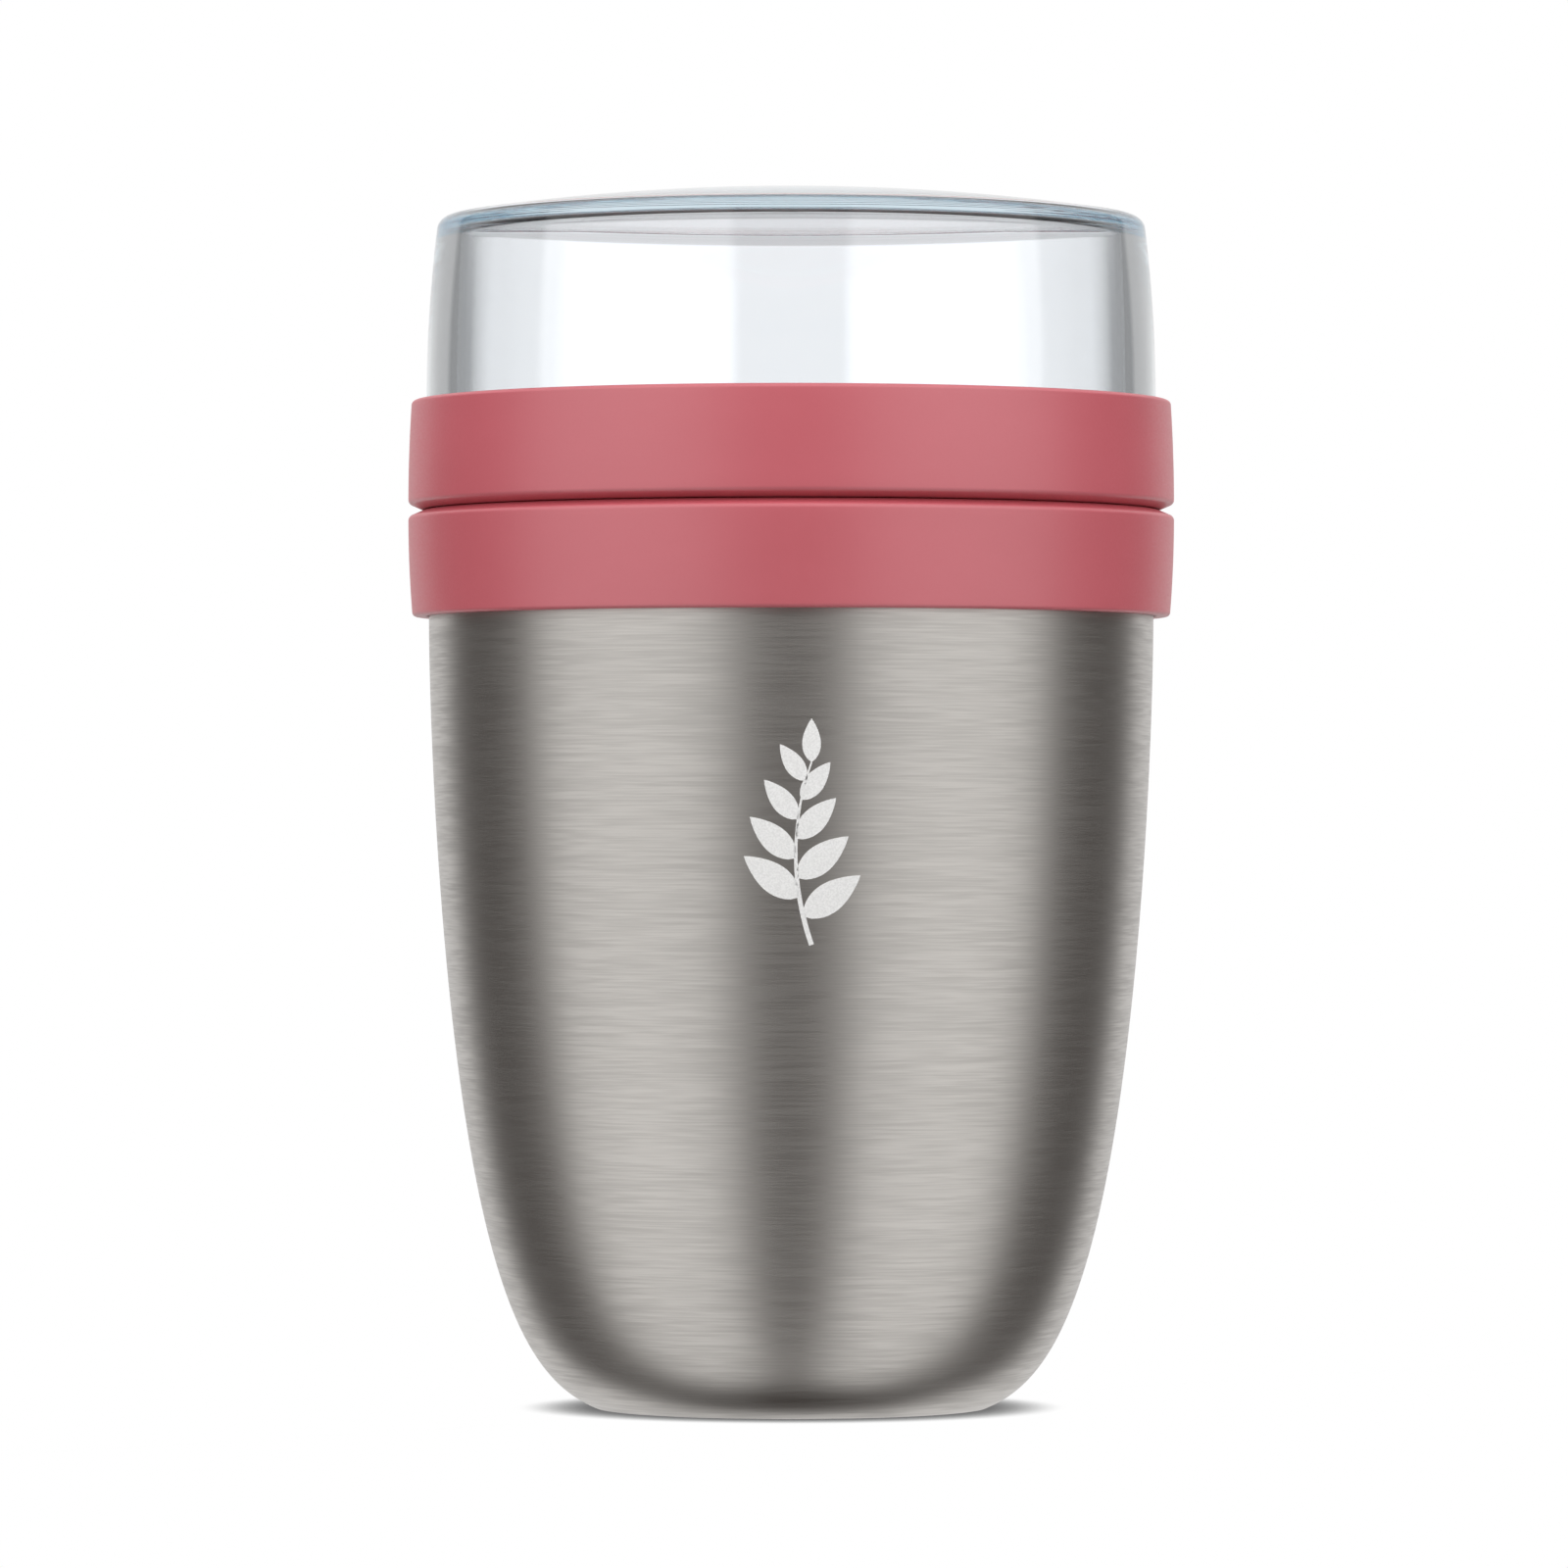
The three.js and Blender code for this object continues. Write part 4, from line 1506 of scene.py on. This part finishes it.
@dataclass
class ToppingCup:
    """The clear domed cup on top, and the ring that it seals on."""

    lathe: Lathe
    collar: Collar
    lid: Lid
    thread: Thread
    cup_gasket: RibbedSeal = RibbedSeal("cup_gasket", 2, 0.0002)
    wall: float = 0.0043
    wall_curve: float = 0.206
    bore_curve: float = 0.482
    crown: float = 0.00255
    crown_curve: float = 0.3207
    corner: float = 0.002
    bore_corner: float = 0.0018
    step_depth: float = 0.0004
    rim_round: float = 0.0004
    wall_steps: int = 24
    corner_steps: int = 20
    crown_steps: int = 36

    @property
    def bore(self) -> float:
        """Inside radius of the cup at its rim."""
        return Span.of("topping_cup").radius - self.wall

    def build(self) -> None:
        """Builds and fits the cup and its seal."""
        fit(self.cup(), Body.CUP, Slot.CLEAR, "topping_cup")
        seal = self.cup_gasket.turned(self.lathe, Span.of("cup_seal"), self.bore)
        fit(seal, Body.CUP_SEAL, Slot.SILICONE, "cup_seal")

    def cup(self) -> Piece:
        """Makes the cup, mouth down, with the lugs round its rim.

        Returns:
            The cup.
        """
        span, ring = Span.of("topping_cup"), Span.of("lid_ring")
        root, bore = self.collar.root, self.bore
        step = ring.top - self.step_depth
        ceiling = span.top - self.crown
        inside = self.skin((bore, span.foot), self.bore_curve, ceiling, self.bore_corner)
        outside = self.skin((span.radius, ring.top), self.wall_curve, span.top, self.corner)
        corners = [
            *sharp(reversed(inside[1:])),
            Corner(bore, span.foot, self.rim_round),
            Corner(root, span.foot, self.rim_round),
            Corner(root, step, self.rim_round / 2),
            Corner(span.radius, step, self.rim_round / 2),
            *sharp(outside),
        ]
        cup = self.lathe.turned("clear_cup", corners, CLEAR)
        foot = span.foot + self.collar.flank_gap + self.thread.base / 2
        return fused(cup, self.thread.lugs(root, Facing.OUTWARDS, foot, self.lid.upper_sweep, CLEAR))

    def skin(self, foot: Point, wall_curve: float, top: float, corner: float) -> list[Point]:
        """One skin of the cup: up a bowed wall, round a corner and over a shallow crown to the axis.

        Args:
            foot: radius and height where the wall starts.
            wall_curve: radius of the wall's bow.
            top: height of the crown on the axis.
            corner: size of the corner's round.

        Returns:
            The skin's points from its foot to the axis.
        """
        wall_centre = Vector((foot[0] - wall_curve, foot[1]))
        crown_centre = Vector((0.0, top - self.crown_curve))
        from_wall, from_crown = wall_curve - corner, self.crown_curve - corner
        apart = crown_centre - wall_centre
        along = (apart.length_squared + from_wall**2 - from_crown**2) / (2 * apart.length)
        bearing = math.atan2(apart.y, apart.x) + math.acos(along / from_wall)
        centre = wall_centre + from_wall * Vector((math.cos(bearing), math.sin(bearing)))
        over = math.atan2(centre.y - crown_centre.y, centre.x)
        return [
            *arc(tuple(wall_centre), wall_curve, 0.0, bearing, self.wall_steps),
            *arc(tuple(centre), corner, bearing, over, self.corner_steps)[1:],
            *arc(tuple(crown_centre), self.crown_curve, over, math.pi / 2, self.crown_steps)[1:-1],
            (0.0, top),
        ]


@dataclass(frozen=True)
class Lamp:
    """A soft lamp aimed at the middle of the pot, with its angles in degrees."""

    name: str
    azimuth: float
    elevation: float
    power: float
    size: float = 1.2
    distance: float = 1.6

    def light(self, aim: Vector) -> None:
        """Hangs the lamp so that it lights the pot but doesn't show in it.

        Args:
            aim: the point that it is aimed at.
        """
        data = bpy.data.lights.new(self.name, "AREA")
        data.energy = self.power
        data.size = self.size
        lamp = bpy.data.objects.new(self.name, data)
        bpy.context.collection.objects.link(lamp)
        azimuth, elevation = math.radians(self.azimuth), math.radians(self.elevation)
        level = math.cos(elevation)
        back = Vector((math.sin(azimuth) * level, -math.cos(azimuth) * level, math.sin(elevation)))
        lamp.location = aim + back * self.distance
        lamp.rotation_euler = (-back).to_track_quat("-Z", "Y").to_euler()
        lamp.visible_glossy = False
        lamp.visible_transmission = False
        lamp.visible_camera = False


@dataclass(frozen=True)
class Way:
    """The way that a ray leaves the room."""

    off_front: Socket  # angle off the front, in degrees
    slope: Socket  # upwards, from -1 to 1
    dip: Socket  # below the back of the room, in degrees

    @classmethod
    def drawn(cls, sketch: Sketch) -> "Way":
        """Draws the way.

        Args:
            sketch: the world's tree.

        Returns:
            The way.
        """
        x, y, z = sketch.axes(sketch.out("ShaderNodeTexCoord", output="Generated"))
        side = sketch.math("ARCTAN2", x, sketch.minus(y))
        off_front = sketch.math("DEGREES", sketch.math("ABSOLUTE", side))
        dip = sketch.math("DEGREES", sketch.math("ARCTAN2", sketch.minus(z), y))
        return cls(off_front, z, dip)


@dataclass(frozen=True)
class Ramp:
    """A smooth change between two levels."""

    start: float
    end: float
    first: float = 0.0
    last: float = 1.0

    def drawn(self, sketch: Sketch, value: Socket) -> Socket:
        """The level, as a value goes from the start to the end."""
        return sketch.remap(value, self.start, self.end, self.first, self.last)


@dataclass(frozen=True)
class Stop:
    """A change of brightness on the way round the room, at an angle off the front in degrees."""

    angle: float
    level: float
    softness: float = 2.5


@dataclass(frozen=True)
class Panorama:
    """The brightness round the room: its level at the front, and the changes on the way to the back."""

    front: float
    stops: tuple[Stop, ...]

    def drawn(self, sketch: Sketch, way: Way) -> Socket:
        """Draws the brightness.

        Args:
            sketch: the world's tree.
            way: the way of the ray.

        Returns:
            The level.
        """
        level: Any = self.front
        for stop in self.stops:
            past = sketch.remap(way.off_front, stop.angle - stop.softness, stop.angle + stop.softness)
            level = sketch.blend(past, level, stop.level)
        return level


@dataclass
class Studio:
    """The camera, the white surroundings and the soft light."""

    sensor: float = 36.0
    lens: float = 211.3
    distance: float = 1.334
    eye_height: float = 0.0814
    eye_side: float = -0.00104
    frame_lift: float = 0.0391
    bounces: int = 160  # light runs a long way inside the clear crown

    # The room that the pot mirrors: softboxes with dark gaps in front, and a white backdrop
    room: Panorama = Panorama(0.075, (Stop(19.4, 0.92), Stop(87.0, 0.08)))
    warmth: Size = (0.007, 0.014, 0.017)  # taken off red, green and blue
    underfoot: Ramp = Ramp(-0.985, -0.95, 0.05, 1.0)
    backdrop_edge: Ramp = Ramp(135.5, 140.5)
    backdrop_foot: Ramp = Ramp(53.0, 59.0, 0.9, 0.0)
    overhead: Ramp = Ramp(0.75, 0.95)
    mirrored_ceiling: Ramp = Ramp(0.3, 0.45)
    ceiling_level: float = 0.9

    # The room through the clear cup: after mirroring inside it, and straight through
    inside: Panorama = Panorama(
        0.04, (Stop(19.4, 1.7), Stop(90.5, 0.08), Stop(131.0, 0.33), Stop(171.0, 0.6, 4.0))
    )
    through: Panorama = Panorama(1.06, (Stop(140.0, 0.35), Stop(162.0, 1.06, 6.0)))
    ground: Ramp = Ramp(-0.25, -0.12, 1.0, 0.0)
    ground_level: float = 0.8
    low_shade: Ramp = Ramp(0.07, 0.15, 1.0, 0.68)
    high_shade: Ramp = Ramp(0.28, 0.5, 1.0, 0.3)
    seen_ceiling: Ramp = Ramp(0.46, 0.56)
    deep_bounces: float = 3.5
    deep_level: float = 0.9
    under_cup_level: float = 1.5

    # The floor
    floor_size: float = 40.0
    floor_drop: float = 0.00002
    floor_colour: Colour = (0.4, 0.4, 0.4, 1.0)
    shadow_reach: float = 0.0075
    shadow_samples: int = 16
    shadow: Ramp = Ramp(0.0, 0.9, 0.16, 1.0)

    lamps: tuple[Lamp, ...] = (
        Lamp("left_softbox", -54.0, 38.0, 11.2),
        Lamp("right_softbox", 54.0, 38.0, 11.2),
        Lamp("back_softbox", 180.0, 30.0, 5.0),
        Lamp("top_softbox", 0.0, 85.0, 5.0),
    )

    def build(self) -> None:
        """Sets up the camera, the world, the floor and the lamps."""
        bpy.context.scene.view_settings.view_transform = "Standard"
        paths = bpy.context.scene.cycles
        paths.max_bounces = paths.glossy_bounces = paths.transmission_bounces = self.bounces
        self.camera()
        self.world()
        self.floor()
        aim = Vector((0.0, 0.0, self.eye_height))
        for lamp in self.lamps:
            lamp.light(aim)

    def camera(self) -> None:
        """The photograph's camera: level, with its frame lifted to take in the whole pot."""
        data = bpy.data.cameras.new("photo_camera")
        data.sensor_width = self.sensor
        data.lens = self.lens
        data.shift_y = self.frame_lift
        data.clip_end = 2 * self.floor_size
        camera = bpy.data.objects.new("photo_camera", data)
        bpy.context.collection.objects.link(camera)
        camera.location = (self.eye_side, -self.distance, self.eye_height)
        camera.rotation_euler = (math.pi / 2, 0.0, 0.0)
        bpy.context.scene.camera = camera

    def world(self) -> None:
        """White behind the pot, and softboxes with dark gaps where it mirrors the room."""
        world = bpy.data.worlds.new("white_studio")
        bpy.context.scene.world = world
        world.use_nodes = True
        sketch = Sketch(world.node_tree)
        path = sketch.add("ShaderNodeLightPath").outputs
        way = Way.drawn(sketch)
        room = self.room_level(sketch, way, path["Is Glossy Ray"])
        cup = self.cup_level(sketch, way, path["Glossy Depth"])
        under_cup = sketch.math("GREATER_THAN", path["Diffuse Depth"], ONE_BOUNCE)
        cup = sketch.blend(under_cup, cup, self.under_cup_level)
        colours = []
        for warmth in self.warmth:
            warm = sketch.math("SUBTRACT", room, warmth)
            level = sketch.blend(path["Is Transmission Ray"], warm, cup)
            colours.append(sketch.blend(path["Is Camera Ray"], level, 1.0))
        light = sketch.out("ShaderNodeCombineColor", dict(enumerate(colours)))
        sketch.feed(world.node_tree.nodes["Background"], {"Color": light})

    def room_level(self, sketch: Sketch, way: Way, mirrored: Socket) -> Socket:
        """How bright the room is that the pot stands in and mirrors.

        Args:
            sketch: the world's tree.
            way: the way of the ray.
            mirrored: 1 for light that a surface mirrors.

        Returns:
            The level.
        """
        boxes = sketch.math("MULTIPLY", self.room.drawn(sketch, way), self.underfoot.drawn(sketch, way.slope))
        white = self.backdrop_foot.drawn(sketch, way.dip)
        round_pot = sketch.blend(self.backdrop_edge.drawn(sketch, way.off_front), boxes, white)
        above = sketch.math("MULTIPLY", self.mirrored_ceiling.drawn(sketch, way.slope), mirrored)
        ceiling = sketch.math("MAXIMUM", self.overhead.drawn(sketch, way.slope), above)
        return sketch.blend(ceiling, round_pot, self.ceiling_level)

    def cup_level(self, sketch: Sketch, way: Way, mirrorings: Socket) -> Socket:
        """How bright the room is through the clear cup: darker where light is mirrored inside it.

        Args:
            sketch: the world's tree.
            way: the way of the ray.
            mirrorings: how many times the light was mirrored.

        Returns:
            The level.
        """
        inside = sketch.math("GREATER_THAN", mirrorings, ONE_BOUNCE)
        down = self.ground.drawn(sketch, way.slope)
        mirrored = sketch.blend(down, self.inside.drawn(sketch, way), self.ground_level)
        through = sketch.blend(down, self.through.drawn(sketch, way), self.through.front)
        round_pot = sketch.blend(inside, through, mirrored)
        shades = (ramp.drawn(sketch, way.slope) for ramp in (self.low_shade, self.high_shade))
        shaded = sketch.math("MULTIPLY", round_pot, sketch.math("MULTIPLY", *shades))
        straight = sketch.math("SUBTRACT", 1.0, inside)
        over = sketch.math("MULTIPLY", self.seen_ceiling.drawn(sketch, way.slope), straight)
        level = sketch.blend(over, shaded, self.ceiling_level)
        deep = sketch.math("GREATER_THAN", mirrorings, self.deep_bounces)
        return sketch.blend(deep, level, self.deep_level)

    def floor(self) -> None:
        """A white floor that darkens only where the pot stands, and can't be seen from below."""
        half = self.floor_size / 2
        mesh = bpy.data.meshes.new("floor")
        corners = [(-half, -half, 0.0), (half, -half, 0.0), (half, half, 0.0), (-half, half, 0.0)]
        mesh.from_pydata(corners, [], [(0, 1, 2, 3)])
        floor = bpy.data.objects.new("floor", mesh)
        bpy.context.collection.objects.link(floor)
        floor.location.z = -self.floor_drop
        floor.visible_glossy = False
        floor.visible_transmission = False
        material = bpy.data.materials.new("white_floor")
        coat = Coat(material)
        inputs = {"Distance": self.shadow_reach}
        open_sky = coat.out("ShaderNodeAmbientOcclusion", inputs, output="AO", samples=self.shadow_samples)
        white = coat.out("ShaderNodeEmission", {"Strength": self.shadow.drawn(coat, open_sky)})
        chalk = coat.out("ShaderNodeBsdfDiffuse", {"Color": self.floor_colour})
        clear = coat.out("ShaderNodeBsdfTransparent")
        by_camera = coat.out("ShaderNodeLightPath", output="Is Camera Ray")
        seen = coat.out("ShaderNodeMixShader", {0: by_camera, 1: chalk, 2: white})
        below = coat.out("ShaderNodeNewGeometry", output="Backfacing")
        one_sided = coat.out("ShaderNodeMixShader", {0: below, 1: seen, 2: clear})
        coat.feed(coat.output, {"Surface": one_sided})
        mesh.materials.append(material)


def main() -> None:
    """Builds the studio, the pot and its closures, in order."""
    logging.basicConfig(level=logging.INFO, format="%(name)s: %(message)s")
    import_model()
    Studio().build()
    lathe = Lathe()
    thread = Thread()
    pot = SteelPot(lathe)
    pot.build()
    collar = Collar(lathe, pot, thread)
    collar.build()
    lid = Lid(lathe, collar, thread)
    lid.build()
    ToppingCup(lathe, collar, lid, thread).build()


if __name__ == "__main__":
    main()
